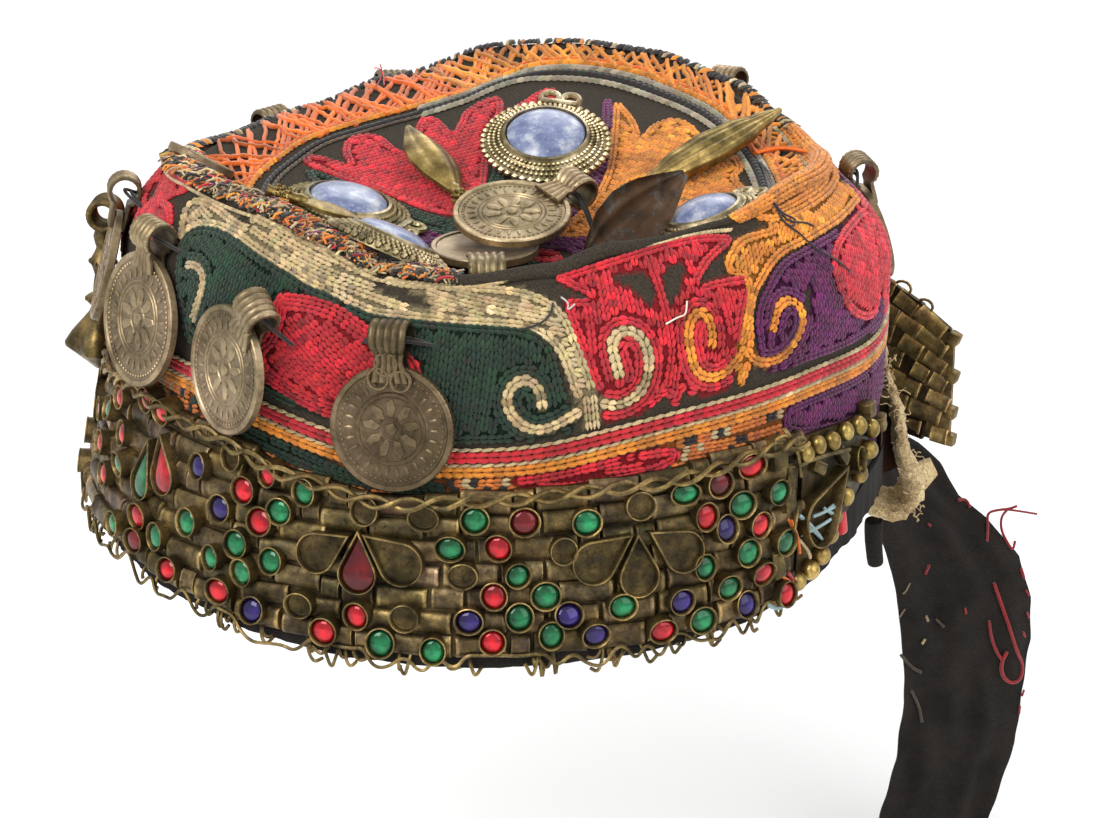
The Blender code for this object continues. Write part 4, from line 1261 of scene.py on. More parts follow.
def wall_cloth():
    cloth = Cloth((np.radians(-97) * FLAT_RADIUS, 20 * MM), (np.radians(97) * FLAT_RADIUS, 108 * MM))
    cloth.area("burnt", spots((-97, 24), (-88, 16), (-80, 24), (-79, 40), (-88, 50), (-97, 44)), 90)
    cloth.area("purple", spots((-97, 56), (-84, 54), (-72, 44), (-68, 54), (-80, 64), (-97, 66)), 20)
    cloth.area("green", on_wall(GREEN_FIELD), 84)
    cloth.area("red", on_wall(RED_OVAL), -40, edge=2)
    cloth.stroke("cream", on_wall(CREAM_CURL), 2.0 * MM)
    cloth.area("bare", on_wall(LEFT_NOTCH))
    cloth.area("cream", on_wall(CREAM_BAND), -14, edge=1, soft=1)
    cloth.area("bare", on_wall(BAND_SLIT))
    cloth.area("red", spots((-72, 0.3), (-96, 0.3), (-96, 26), (-88, 32), (-83, 28), (-78, 12), (-74, 6)), 75)
    cloth.area("red", on_wall(RED_SHOULDER), 75)
    cloth.area("red", on_wall(RED_FLOWER), 75, edge=1)
    cloth.area("bare", on_wall(FLOWER_SLIT))
    cloth.area("red", on_wall(RED_FIGURE), 84, edge=1, soft=1)
    for hole in FIGURE_HOLES:
        cloth.area("bare", on_wall(hole), soft=1)
    cloth.area("purple", spots((66, 8), (97, 4), (97, 54), (80, 54), (66, 54)), 90, edge=1)
    cloth.area("purple", on_wall(PURPLE_FIELD), 90, edge=1)
    cloth.area("pink", spots((74, 12), (84, 9), (97, 14), (97, 40), (88, 46), (78, 42), (72, 30)), 90, edge=2)
    cloth.area("pink", on_wall(PINK_OVAL), 80, edge=1)
    cloth.area("bare", on_wall(PURPLE_SLIT))
    cloth.area("orange", on_wall(ORANGE_FIGURE), 60, edge=1, soft=1)
    cloth.area("bare", on_wall(ORANGE_LEAF))
    cloth.stroke("cream", on_wall(LEFT_SPIRAL), 2.5 * MM)
    cloth.stroke("cream", on_wall(RIGHT_SPIRAL), 2.6 * MM)
    cloth.stroke("cream", on_wall(CREAM_STEM), 3.4 * MM, lines=2)
    cloth.stroke("orange", on_wall(LEFT_CURL), 2.4 * MM)
    cloth.stroke("orange", on_wall(RIGHT_CURL), 2.4 * MM)
    line = stripe_curve()
    lower = offset_line(line, -19 * MM)
    rim = spots((46, -1), (60, -1), (80, -1), (97, -1), (97, 3), (80, 4.5), (62, 5.5), (50, 5))
    cloth.area("orange", rim, 0)
    foot = np.concatenate([line, lower[::-1]])
    cloth.area("flecked", foot, 0, edge=0, soft=0)
    cloth.area("green", on_wall(GREEN_FOOT), 0, edge=1)
    cloth.area("red", on_wall(RED_LOZENGES), 0, edge=1)
    cloth.area("purple", spots((64, 42), (97, 42), (97, 92), (64, 92)), 90)
    cloth.area("purple", on_wall(PURPLE_FOOT), 90, edge=1)
    cloth.stroke("bare", offset_line(line, -2.7 * MM), 8.0 * MM, soft=0)
    return cloth, line


def to_back(places, ahead):
    """Flat places and directions of the front half, taken to the back half."""
    angle = flat_angle(places)
    return below_rim(wrapped(180.0 - angle), flat_top(angle) - places[:, 1]), 180.0 - ahead


def wall_places(places, lift):
    angle, height = from_flat(places)
    return wall_frames(angle, height, lift)


def seen_batches(batches, low_angle, high_angle):
    """The stitches of a stretch of the front half that show above the band."""
    kept = []
    for places, ahead, width, thread in batches:
        if len(places) == 0:
            continue
        angle, height = from_flat(places)
        show = (angle >= low_angle) & (angle <= high_angle) & (height > brow(angle, 3) - 5 * MM)
        kept.append((places[show], ahead[show], width, thread))
    return kept


STRIPE_ROWS = (
    # thread, distance below the line, width and step in millimetres
    ("cream", 0.1, 1.0, 2.6), ("red", 1.9, 2.9, 2.5), ("cream", 3.7, 0.9, 2.6), ("orange", 5.3, 2.8, 2.3),
)


def sew_stripes(heap, line, mirror=None):
    for thread, below, width, step in STRIPE_ROWS:
        places, ahead = resampled(offset_line(line, -below * MM), step * MM)
        show = np.abs(flat_angle(places)) <= 90.5
        places, ahead = places[show], ahead[show]
        if mirror:
            places, ahead = mirror(places, ahead)
        shape, slant = (STITCH, 0.0) if width > 2 else (SHORT_STITCH, 9.0)
        frames = turned_frames(wall_places(places, STITCH_LIFT), ahead - 90.0 + slant)
        frames = sized_frames(frames, width / 2 * MM, step * 0.6 * MM, 1.3 * MM)
        heap.spread(shape, frames, shaded(thread, len(places), 0.07))


def make_wall_embroidery():
    cloth, line = wall_cloth()
    make_cap_cloth(cloth)
    batches = cloth.rows()
    halves = (("left", -90, 0, None), ("right", 0, 90, None), ("back_left", 0, 90, to_back),
              ("back_right", -90, 0, to_back))
    for name, low, high, mirror in halves:
        heap = Heap()
        sew(heap, seen_batches(batches, low, high), wall_places, mirror)
        heap.threads("wall_stitches_" + name)
    stripes = Heap()
    sew_stripes(stripes, line)
    sew_stripes(stripes, line, to_back)
    stripes.threads("stripe_stitches")


RING_LINE = (
    (270, 179), (295, 160), (316, 144), (340, 136), (362, 130), (392, 121), (420, 114), (452, 104),
    (481, 95), (495, 86), (508, 79), (535, 75), (560, 73), (582, 74), (601, 77), (626, 81), (654, 93),
    (683, 103), (709, 118), (736, 142), (752, 162), (762, 183), (773, 213),
)
EDGE_RADIUS = 75.2 * MM
EDGE_ANGLES = (42, 112)
CROWN_BARE = (
    (262, 180), (320, 144), (420, 113), (505, 80), (600, 74), (700, 108), (760, 165), (775, 215),
    (740, 226), (560, 238), (430, 222), (300, 190),
)
FRONT_RED = ((520, 252), (540, 250), (562, 254), (562, 262), (540, 262), (524, 259))
FRONT_GREEN = ((522, 262), (548, 264), (545, 272), (526, 273))
RING_WIDEST = 71.0 * MM
RING_HIDDEN = ((320, 63.5), (345, 63.0), (0, 63.0), (20, 63.0), (45, 63.5))


def ring_table():
    """Radii of the ring on the crown at every two degrees; its hidden front is a plain curve."""
    x, y = on_crown(RING_LINE).T
    angle = crown_angle(x, y) % 360
    radius = np.minimum(np.hypot(x - CROWN_CENTRE_X, y), RING_WIDEST)
    hidden = np.array(RING_HIDDEN)
    known = np.concatenate([angle, hidden[:, 0]]), np.concatenate([radius, hidden[:, 1] * MM])
    at = np.arange(0.0, 360.0, 2.0)
    radii = np.interp(at, *(k[np.argsort(known[0])] for k in known), period=360)
    return at, np.mean([np.roll(radii, k) for k in range(-3, 4)], axis=0)


RING_ANGLES, RING_RADII = ring_table()


def ring_radius(angle):
    return np.interp(np.asarray(angle) % 360, RING_ANGLES, RING_RADII, period=360)


def ring_line(beyond, count=361):
    """The ring's line moved outward."""
    angle = np.linspace(0.0, 360.0, count)
    return crown_point(angle, ring_radius(angle) + beyond)


def crown_places(places, lift):
    return crown_frames(places[:, 0], places[:, 1], lift)


def circle(radius, start=0.0, end=360.0, count=181):
    return crown_point(np.linspace(start, end, count), radius)


def front_half(points):
    """Points of the crown's back, taken to its front."""
    return points * (1.0, -1.0)


def make_crown_embroidery():
    reach = 82 * MM
    cloth = Cloth((-reach, -reach), (reach, reach), 0.45 * MM)
    for thread, pixels, rows in (
        ("green", PURPLE_SIDE, -45), ("purple", RED_PETAL, 42), ("green", ORANGE_PETAL, -38),
        ("red", GREEN_SIDE, 35),
    ):
        cloth.area(thread, front_half(on_crown(pixels)), rows, edge=1, soft=1)
    cloth.area("bare", on_crown(CROWN_BARE), soft=1)
    for thread, pixels, rows in (
        ("green", GREEN_SIDE, -35), ("purple", PURPLE_SIDE, 45), ("red", RED_TIP, 80),
        ("red", RED_PETAL, -42), ("orange", ORANGE_PETAL, 38), ("red", FRONT_RED, 5),
        ("green", FRONT_GREEN, 5),
    ):
        cloth.area(thread, on_crown(pixels), rows, edge=1, soft=1)
    cloth.area("bare", np.concatenate([ring_line(-1.5 * MM), circle(81 * MM)[::-1]]), soft=0)
    edge, rim = circle(EDGE_RADIUS, *EDGE_ANGLES, 60), circle(78.2 * MM, *EDGE_ANGLES, 60)
    cloth.area("orange", np.concatenate([edge, rim[::-1]]), 100, edge=2, soft=0)
    cloth.stroke("cream", edge, 1.3 * MM)
    make_crown_cloth(cloth)
    heap = Heap()
    sew(heap, cloth.rows(), crown_places)
    heap.threads("crown_stitches", "crown_cloth")


CROWN_CORDS = (
    # thread, distance beyond the ring's line and width in millimetres
    ("grey", -2.1, 1.7), ("black", 0.0, 2.3), ("grey", 2.0, 1.5), ("orange", 3.7, 1.6), ("burnt", 4.9, 1.1),
)
# The tangle of orange threads by the rim, as pixels of the picture
KNOT = ((744, 136), (754, 152), (765, 150), (785, 147), (806, 153))


def make_crown_ring():
    """Two pale cords with a dark one between, and an orange net on black up to the rim."""
    heap = Heap()
    for thread, beyond, width in CROWN_CORDS:
        places, ahead = resampled(ring_line(beyond * MM), 1.9 * MM)
        angle = crown_angle(*places.T) % 360
        left = (angle > 205) & (angle < 292)
        frames = turned_frames(crown_places(places, CORD_LIFT), ahead - 76.0)
        slim = np.where(left & (thread in ("grey", "black")), 0.55, 1.0)
        frames = sized_frames(frames, width * 0.62 * MM * slim, 1.75 * MM, 1.4 * MM * slim)
        tints = shaded(thread, len(places), 0.09)
        if thread == "grey":
            tints[left] = shaded("brown", int(left.sum()))
            if beyond > 0:
                frames, tints = frames[~left], tints[~left]
        heap.spread(SHORT_STITCH, frames, tints)
    for path, thread in net_in_view() + net_out_of_view():
        heap.add(tube(smooth_line(path, rounds=1), rng.uniform(*NET_THREAD) * MM, 5), shaded(thread, 1)[0])
    for strand in range(9):
        line = np.array(KNOT) + rng.normal(0, 2.2, (len(KNOT), 2))
        path = smooth_line(on_cap(line[:3 + strand % 3], rng.uniform(0.8, 2.2) * MM))
        heap.add(tube(path, 0.4 * MM, 5), shaded("burnt", 1)[0])
    heap.threads("crown_lattice", "crown_cloth")


NET_SEEN = (96.0, 304.0)
NET_PITCH = 9.0
NET_LEAN = 48.0
NET_START = 3.6 * MM
NET_THREAD = (0.52, 0.76)


def net_limit(angle):
    """The radius at which the net ends: at the rim, or at the orange rows inside it."""
    return np.where((angle > EDGE_ANGLES[0]) & (angle < EDGE_ANGLES[1]), EDGE_RADIUS - 0.4 * MM, 77.8 * MM)


def net_lift(slant):
    """The threads of one slant lie over those of the other."""
    return (0.35 + 0.3 * (slant > 0)) * MM


def net_thread(angle):
    return "burnt" if 190 < angle % 360 < 290 else "orange"


def net_in_view():
    """Threads of the net over the crown's back, even in the picture and cast on to the crown."""
    line = ring_line(NET_START, 721)
    kept = np.linspace(0.0, 360.0, 721)
    line = line[(kept > NET_SEEN[0]) & (kept < NET_SEEN[1])]
    places, ahead = resampled(picture_of(crown_places(line, 0.0)[:, :, 3]), NET_PITCH)
    made = []
    for slant in (-1, 1):
        lean = np.radians(ahead + 90.0 - slant * (NET_LEAN + rng.normal(0, 6.0, len(places))))
        way = np.stack([np.cos(lean), np.sin(lean)], axis=-1)
        start = places + rng.normal(0, 1.3, places.shape)
        steps = np.arange(0.0, 152.0, 4.0)
        pixels = start[:, None] + way[:, None] * steps[None, :, None]
        pixels += rng.normal(0, 0.9, pixels.shape)
        points = on_crown(pixels.reshape(-1, 2)).reshape(len(places), len(steps), 2)
        for row in points:
            x, y = row.T
            angle = crown_angle(x, y) % 360
            beyond = np.hypot(x - CROWN_CENTRE_X, y) > net_limit(angle)
            count = int(beyond.argmax()) if beyond.any() else len(row)
            if count > 2:
                path = crown_places(row[:count], net_lift(slant))[:, :, 3]
                made.append((path, net_thread(angle[0])))
    return made


def net_out_of_view():
    """Threads of the net over the crown's front, behind the rim."""
    made = []
    for slant in (-1, 1):
        for start in np.arange(NET_SEEN[1], 360.0 + NET_SEEN[0], 3.2) + 1.6 * (slant > 0):
            inner, outer = float(ring_radius(start)) + NET_START, float(net_limit(start % 360))
            share = np.linspace(0, 1, 7)
            lean = rng.normal(1.0, 0.14) * math.degrees((outer - inner) / SEAM_RADIUS)
            places = crown_point(start + slant * lean * share, inner + (outer - inner) * share)
            places[1:-1] += rng.normal(0, 0.25, (5, 2)) * MM
            path = crown_places(places, net_lift(slant))[:, :, 3]
            made.append((path, net_thread(start)))
    return made


RIM_THREAD = (
    (548, 270), (575, 262), (601, 256), (628, 248), (652, 243), (680, 237), (707, 233), (730, 231),
)
ROLL_TABLE = (
    (-16, 0.5), (-8, 1.5), (10, 1.9), (20, 1.8), (30, 1.0), (44, 0.9), (54, 1.5), (80, 2.2), (104, 1.6),
    (114, 0.5),
)
ROLL_ORANGE = 43.0


def roll_ring(angle, turn, beyond=0.0):
    """Frames round the cloth rolled over the rim, by the angle round the cap and round the roll."""
    radius = between(ROLL_TABLE, angle) * MM
    base = wall_frames(angle, seam_height(angle))
    up = np.broadcast_to(UP, (len(angle), 3))
    along = base[:, :, 0]
    outward = np.cross(along, up)
    a = math.radians(turn)
    away = outward * math.cos(a) + up * math.sin(a)
    centre = base[:, :, 3] + up * (0.25 * radius)[:, None] - outward * (0.5 * MM)
    return columns(np.cross(along, away), along, away, centre + away * (radius + beyond)[:, None])


def add_roll(heap):
    angle = np.linspace(ROLL_TABLE[0][0], ROLL_TABLE[-1][0], 160)
    loops = np.stack([roll_ring(angle, turn)[:, :, 3] for turn in range(0, 360, 24)], axis=1)
    points, faces = loft(loops)
    # The roll's cloth is charcoal, and under its orange stitches orange darkened by UNDER_SHADE as painted
    # shade between them.
    charcoal, orange = linear(THREADS["charcoal"]), linear(np.array(THREADS["orange"]) * UNDER_SHADE)
    tints = np.where((np.repeat(angle, loops.shape[1]) > ROLL_ORANGE)[:, None], orange, charcoal)
    heap.add((points, faces), tints, 1)
    for turn in range(-40, 190, 34):
        at = np.arange(ROLL_ORANGE + 0.6 * abs(turn - 60) / 34, ROLL_TABLE[-1][0] - 4, 1.32)
        at = at + rng.normal(0, 0.1, len(at))
        frames = roll_ring(at, turn + 4.0 * math.sin(turn), 0.05 * MM)
        frames = turned_frames(frames, rng.normal(0, 6, len(at)))
        heap.spread(STITCH, sized_frames(frames, 1.0 * MM, 1.02 * MM, 1.0 * MM), shaded("orange", len(at)))


def add_overcast(heap):
    """Dark stitches over the fold with a few pale and orange ones, where no roll or fringe covers it."""
    count = 430
    angle = np.linspace(-180, 180, count, endpoint=False) + rng.normal(0, 0.3, count)
    angle = angle[(angle < -76) | (angle > 106)]
    count = len(angle)
    frames = wall_frames(angle, seam_height(angle) + 0.3 * MM)
    up = np.broadcast_to(UP, (count, 3))
    along = frames[:, :, 0]
    over = columns(along, np.cross(along, up), up, frames[:, :, 3])
    over = turned_frames(over, rng.normal(14, 16, count))
    over = sized_frames(over, rng.uniform(0.7, 1.1, count) * MM, rng.uniform(1.5, 2.4, count) * MM, 1.5 * MM)
    tints = shaded("charcoal", count)
    pick = rng.random(count)
    left = (angle > -150) & (angle < -76)
    for thread, share in (("black", 0.8), ("cream", 0.24), ("orange", 0.10)):
        chosen = pick < np.where(left & (thread != "black"), share * 1.7, share)
        tints[chosen] = shaded(thread, int(chosen.sum()))
    heap.spread(SHORT_STITCH, over, tints)


def add_rim_cord(heap):
    """A thin pale cord on the wall's side of the rim."""
    seen = on_wall(RIM_THREAD)
    at = flat_angle(seen)
    below = flat_top(at) - seen[:, 1]
    angle = np.linspace(-180, 180, 560)
    angle = angle[(angle < at[-1]) | (angle > 118)]
    low = np.interp(angle, [-180, -12, *at, 180], [1.8 * MM, 1.8 * MM, *below, 1.8 * MM])
    places = below_rim(angle, low)
    cord = turned_frames(wall_places(places, CORD_LIFT), -80.0)
    heap.spread(SHORT_STITCH, sized_frames(cord, 0.5 * MM, 1.0 * MM, 0.9 * MM), shaded("cream", len(places)))


FRINGE_THREADS = (
    ("black", 0.26), ("cream", 0.27), ("orange", 0.17), ("burnt", 0.10), ("brown", 0.13), ("purple", 0.03),
    ("red", 0.04),
)


def add_fringe(heap):
    """The curly thread ends and worn stitches tangled over the near left of the rim."""
    names = [name for name, _ in FRINGE_THREADS]
    shares = [share for _, share in FRINGE_THREADS]
    for _ in range(1250):
        at = rng.uniform(-92, -6)
        start = wall_frames(at, seam_height(at))[0]
        a = math.radians(at)
        outward, along = np.array([math.sin(a), -math.cos(a), 0.0]), np.array([math.cos(a), math.sin(a), 0.0])
        place = start[:, 3] + outward * rng.uniform(-5.5, 0.8) * MM
        place = place + UP * (0.4 + 0.9 * rng.random()) * MM
        length, curl = rng.uniform(2.2, 4.8) * MM, rng.uniform(0.3, 1.3) * MM
        lean = rng.normal(0, 0.55)
        way = outward * math.cos(lean) + along * math.sin(lean)
        side = np.cross(way, (0, 0, 1))
        share = np.linspace(-0.5, 0.5, 5)
        sway = np.sin(share * math.pi * rng.uniform(1.2, 3.0) + rng.uniform(0, 6)) * curl
        rise = np.cos(share * math.pi) * rng.uniform(0.2, 1.1) * MM
        path = place + way * (share * length)[:, None] + side * sway[:, None] + UP * rise[:, None]
        thread = names[rng.choice(len(names), p=shares)]
        heap.add(tube(path, rng.uniform(0.2, 0.34) * MM, 4), shaded(thread, 1, 0.16)[0])


def make_rim():
    """The rim: cloth rolled over it at the right, overcast stitches, a thin cord and the tangled fringe."""
    heap = Heap()
    add_roll(heap)
    add_overcast(heap)
    add_rim_cord(heap)
    add_fringe(heap)
    heap.piece("rim_stitches", [PAINT["thread"], PAINT["under"]], sharp=None)


# Thread ends that lie loose on the cap: thread, radius in millimetres, pixels of the picture
LOOSE_THREADS = (
    ("black", 0.24, ((756, 160), (769, 171), (771, 183), (773, 201), (777, 209), (789, 222), (805, 222),
     (814, 226))),
    ("black", 0.24, ((761, 162), (767, 179), (775, 207), (785, 224), (799, 232), (814, 248), (834, 258),
     (850, 271))),
    ("black", 0.22, ((773, 201), (783, 214), (797, 219), (793, 228), (780, 219))),
    ("black", 0.26, ((553, 303), (551, 314), (541, 324), (520, 330))),
    ("white", 0.20, ((561, 297), (569, 303), (567, 311), (575, 304))),
    ("white", 0.20, ((687, 301), (686, 315), (678, 317), (666, 324))),
    ("red", 0.16, ((376, 86), (381, 79), (382, 70), (380, 64))),
    ("red", 0.16, ((384, 85), (384, 76), (380, 68), (374, 68))),
)


def make_loose_threads():
    heap = Heap()
    for thread, radius, pixels in LOOSE_THREADS:
        path = smooth_line(on_cap(pixels, 1.3 * MM))
        heap.add(tube(path, radius * MM, 6), shaded(thread, 1)[0])
    heap.threads("loose_threads")


# The cap's own cloth

def wall_under(cloth, angle, height):
    """The tint of the wall's cloth: the back half repeats the front half."""
    back = np.abs(angle) > 90
    mirrored = np.where(back, wrapped(180.0 - angle), angle)
    below = flat_top(angle) - flat_from(angle, height)[:, 1]
    return cloth.under(below_rim(mirrored, below))


def make_cap_cloth(cloth):
    heap = Heap()
    steps, rings, inner_rings = 600, 72, 12
    share = np.linspace(0, 1, rings) ** 0.9
    sections = []
    inner_sections = []
    for i in range(steps):
        angle = i * 360.0 / steps
        top, low = float(seam_height(angle)), float(brow(angle, 1)) + HEM_OVER_WALL
        sections.append(wall_frames(angle, low + (top - low) * share, -CLOTH_SUNK)[:, :, 3])
        heights = low + (top - low) * np.linspace(1, 0, inner_rings)
        inner = wall_frames(angle, heights, -CLOTH)[:, :, 3]
        edges = wall_frames(angle, np.array([top, low]), -CLOTH_SUNK)[:, :, 3]
        inner_sections.append(np.concatenate([edges[:1], inner, edges[1:]]))
    points, faces = grid(sections)
    angles = np.repeat(np.arange(steps) * 360.0 / steps, rings)
    heap.add((points, faces), wall_under(cloth, wrapped(angles), points[:, 2]))
    points, faces = grid(inner_sections)
    size = len(inner_sections[0])
    tints = np.ones((len(points), 3))
    tints[np.arange(len(points)) % size < 2] = linear(THREADS["charcoal"])
    heap.add((points, faces), tints, kind=1)
    heap.kinds[-len(faces):] = [0 if i % (size - 1) == 0 else 1 for i in range(len(faces))]
    paints = [PAINT["under"], PAINT["lining"]]
    obj = heap.piece("cap_cloth", paints, ["cap_wall"], weld=True)


def grid(sections):
    """A closed band of quads through rows of points."""
    count, size = len(sections), len(sections[0])
    faces = []
    for i in range(count):
        n = (i + 1) % count
        for k in range(size - 1):
            faces.append((i * size + k, n * size + k, n * size + k + 1, i * size + k + 1))
    return np.concatenate(sections), faces


def make_crown_cloth(cloth):
    heap = Heap()
    radii = np.concatenate([[0.3], np.linspace(1.2, 75, 62)]) * MM
    steps = 300
    rings = [circle(radius, 0, 360, steps + 1)[:-1] for radius in radii]
    for kind, lift in ((0, 0.0), (1, -CROWN_CLOTH)):
        kept = rings if kind == 0 else rings[::6] + rings[-1:]
        sections = [np.column_stack([p, crown_height(*p.T) + lift]) for p in kept]
        points, faces = loft(sections, caps=False)
        faces = faces + [tuple(range(steps))]
        tints = np.full((len(points), 3), 0.5)
        if kind:
            faces = [tuple(reversed(f)) for f in faces]
        else:
            tints = cloth.under(points[:, :2])
        heap.add((points, faces), tints, kind)
    top_start = (len(radii) - 1) * steps
    low_start = heap.count - steps
    for k in range(steps):
        n = (k + 1) % steps
        heap.faces.append((top_start + k, low_start + k, low_start + n, top_start + n))
        heap.kinds.append(0)
    obj = heap.piece("crown_cloth", [PAINT["under"], PAINT["lining"]], ["crown"])


def make_hem():
    """The black hem under the band, puckered by its stitches."""
    steps = 420
    sections = []
    for i in range(steps):
        angle = i * 360.0 / steps
        low = float(brow(angle, 1))
        pucker = 0.22 * MM * math.sin(i * 1.9) + 0.2 * MM * math.sin(i * 0.63)
        heights = low + np.array([0.0, 0.25, 0.6, 1.0]) * HEM_HEIGHT
        proud = GAP + HEM_CLOTH + pucker * np.array([1.0, 0.8, 0.4, 0.0])
        outer = wall_frames(angle, heights, proud)[:, :, 3]
        inner = wall_frames(angle, heights[::-1], GAP)[:, :, 3]
        sections.append(np.concatenate([outer, inner]))
    heap = Heap()
    heap.add(loft(sections, closed=True))
    obj = heap.piece("hem_cloth", [PAINT["black"]], ["brow_hem"])


# The link band

LINK_PROFILE = (
    (-0.5, -0.5), (-0.5, 0.12), (-0.36, 0.40), (-0.12, 0.5), (0.14, 0.5), (0.38, 0.38), (0.5, 0.10),
    (0.5, -0.5),
)


def link_shape():
    """A folded sheet link, one unit long, high and deep, with a raised edge at each end."""
    sections = []
    for x, swell in ((-0.5, 0.84), (-0.485, 1.0), (-0.43, 1.0), (-0.405, 0.90), (-0.2, 0.92), (0.2, 0.92),
                     (0.405, 0.90), (0.43, 1.0), (0.485, 1.0), (0.5, 0.84)):
        sections.append([(x, y, z * swell) for y, z in LINK_PROFILE])
    return loft(sections)


LINK = link_shape()
# Painted highlight on each link's raised end edges, painted shade on its middle, deeper on its back half
# towards the wall.
LINK_PAINTED_LIGHT = np.where(np.abs(LINK[0][:, 0]) > 0.42, 1.45, 0.78) * np.where(LINK[0][:, 2] < 0.0, 0.45, 1.0)
COLLAR = turned([(3.35 * MM, -1.8 * MM), (3.12 * MM, 1.9 * MM), (3.26 * MM, 2.05 * MM), (3.24 * MM, 2.3 * MM),
                 (3.02 * MM, 2.4 * MM), (2.84 * MM, 2.2 * MM), (2.72 * MM, 0.75 * MM), (2.4 * MM, 0.62 * MM),
                 (0.05 * MM, 0.6 * MM)], 22)
# Painted shade at the collar's foot and on the floor inside it, painted highlight along its rim.
COLLAR_PAINTED_LIGHT = np.repeat([0.6, 0.9, 1.3, 1.5, 1.5, 1.2, 0.5, 0.42, 0.5], 22)
GLASS = turned([(2.74 * MM, 0.7 * MM), (2.70 * MM, 1.3 * MM), (2.3 * MM, 1.75 * MM), (1.7 * MM, 2.02 * MM),
                (0.9 * MM, 2.18 * MM), (0.1 * MM, 2.22 * MM)], 20)


def painted_reflection(points, reach):
    """A painted reflection: a bright patch to one side of a glass and a dark other side, as factors for its
    points.
    """
    far = np.hypot(points[:, 0] - 0.30 * reach, points[:, 1] + 0.15 * reach) / reach
    return 0.42 + 0.95 * np.exp(-(far / 0.62) ** 2)


# Painted reflection on the glass of each round setting.
GLASS_PAINTED_REFLECTION = painted_reflection(GLASS[0], 2.7 * MM)

# Round settings by glass, as pixels of the picture: red, dark red, green, violet blue, and empty
SETTINGS = {
    "R": ((500, 548), (495, 597), (492, 641), (360, 615), (327, 630), (271, 475), (247, 491), (263, 523),
          (144, 516), (223, 590), (174, 570), (111, 475), (128, 435), (108, 444), (126, 399), (150, 394),
          (167, 411), (749, 466), (703, 517), (756, 525), (758, 572), (659, 629), (780, 598)),
    "D": ((524, 523), (140, 541), (717, 484)),
    "G": ((475, 521), (586, 523), (451, 548), (516, 575), (545, 596), (518, 618), (620, 606), (550, 634),
          (382, 643), (434, 650), (308, 493), (282, 512), (192, 523), (162, 537), (240, 544), (217, 558),
          (274, 562), (247, 572), (126, 464), (116, 411), (121, 524), (684, 494), (775, 493), (739, 505),
          (780, 542), (701, 567), (744, 553), (724, 587), (698, 620)),
    "B": ((470, 621), (566, 617), (593, 633), (203, 468), (225, 509), (256, 611), (721, 530), (678, 601),
          (741, 605)),
    "E": ((366, 513), (424, 519), (639, 507), (563, 552), (463, 576), (406, 618), (235, 458), (303, 605)),
}
# Drop settings: pixel of the middle, turn in degrees, length and width in millimetres, glass
DROPS = (
    ((360, 563), 0, 14.0, 8.6, "D"),
    ((393, 557), 55, 15.0, 9.6, "E"),
    ((327, 549), -58, 13.5, 9.0, "E"),
    ((602, 556), -58, 15.0, 9.6, "E"),
    ((636, 566), 0, 14.0, 9.0, "E"),
    ((672, 547), 55, 14.5, 9.4, "E"),
    ((150, 470), -14, 15.5, 7.6, "G"),
    ((168, 466), 10, 14.0, 8.4, "R"),
)
# Past the picture's left edge the settings repeat: share of the band's height and links past the flower
ROWS_REPEATED = (
    (0.84, 0.2, 2.2, 3.1, 4.15), (0.67, 1.75, 2.65), (0.51, 1.95, 2.9), (0.37, 2.45, 3.4), (0.23, 0.0, 2.0),
    (0.10, 0.8, 2.5, 3.5),
)


def band_frames(angle, share, proud=0.0):
    height = brow(angle, 2) + share * (brow(angle, 3) - brow(angle, 2))
    offset = BAND_INSET[0] + (BAND_INSET[1] - BAND_INSET[0]) * share + BAND_THICK + proud
    return wall_frames(angle, height, offset)


def on_band(pixels):
    """Angles and shares of the band's height under pixels."""
    hit, _ = first_hit(pixels, lambda p: over_wall(p, BAND_THICK + 1.2 * MM))
    angle, _ = wall_polar(hit)
    low, high = brow(angle, 2), brow(angle, 3)
    return angle, np.clip((hit[:, 2] - low) / (high - low), 0.04, 0.97)


def drop_line(length, width):
    """A teardrop outline in the XY plane, its round end down and its point up."""
    radius = width / 2
    centre = -length / 2 + radius
    reach = length - radius
    open_angle = math.acos(radius / reach)
    outline = [(0.0, centre + reach)]
    for i in range(DROP_POINTS):
        a = math.pi / 2 - open_angle - i * (2 * math.pi - 2 * open_angle) / (DROP_POINTS - 1)
        outline.append((radius * math.cos(a), centre + radius * math.sin(a)))
    return np.array(outline)


def level(outline, height, scale=1.0):
    centre = outline.mean(axis=0)
    return np.column_stack([centre + (outline - centre) * scale, np.full(len(outline), height)])


def drop_setting(length, width, proud=1.0):
    """A drop setting's wall with its rim wire, and the glass that fills it."""
    line = drop_line(length, width)
    wall = ((-1.8, 1.05), (1.6 * proud, 1.0), (1.85 * proud, 1.05), (2.1 * proud, 1.03), (2.1 * proud, 0.96),
            (0.65, 0.90), (0.60, 0.5))
    glass = ((0.6, 0.88), (1.3, 0.87), (1.65, 0.72), (1.85, 0.45), (1.9, 0.15))
    return [loft([level(line, z * MM, scale)[::-1] for z, scale in steps]) for steps in (wall, glass)]


def add_drop(heap, frames, length, width, glass, proud=1.0):
    wall, fill = drop_setting(length, width, proud)
    count = len(wall[0]) // 7
    # Painted shade at the setting's foot and inside it, painted highlight on its rim wire, and a painted
    # reflection on its glass.
    heap.spread(wall, frames, painted_light=np.repeat([0.6, 0.95, 1.35, 1.55, 1.3, 0.5, 0.45], count))
    if glass != "E":
        heap.spread(fill, frames, kind=KEYS[glass], painted_light=painted_reflection(fill[0], width * 0.55))


def tilted(frames, degrees):
    """Frames leaned about their own X and Y axes by random angles."""
    a, b = np.radians(rng.normal(0, degrees, (2, len(frames), 1)))
    x, y, z, origin = axes(frames)
    normal = z + a * x + b * y
    normal /= np.linalg.norm(normal, axis=1, keepdims=True)
    across = x - (x * normal).sum(axis=1, keepdims=True) * normal
    across /= np.linalg.norm(across, axis=1, keepdims=True)
    return columns(across, np.cross(normal, across), normal, origin)


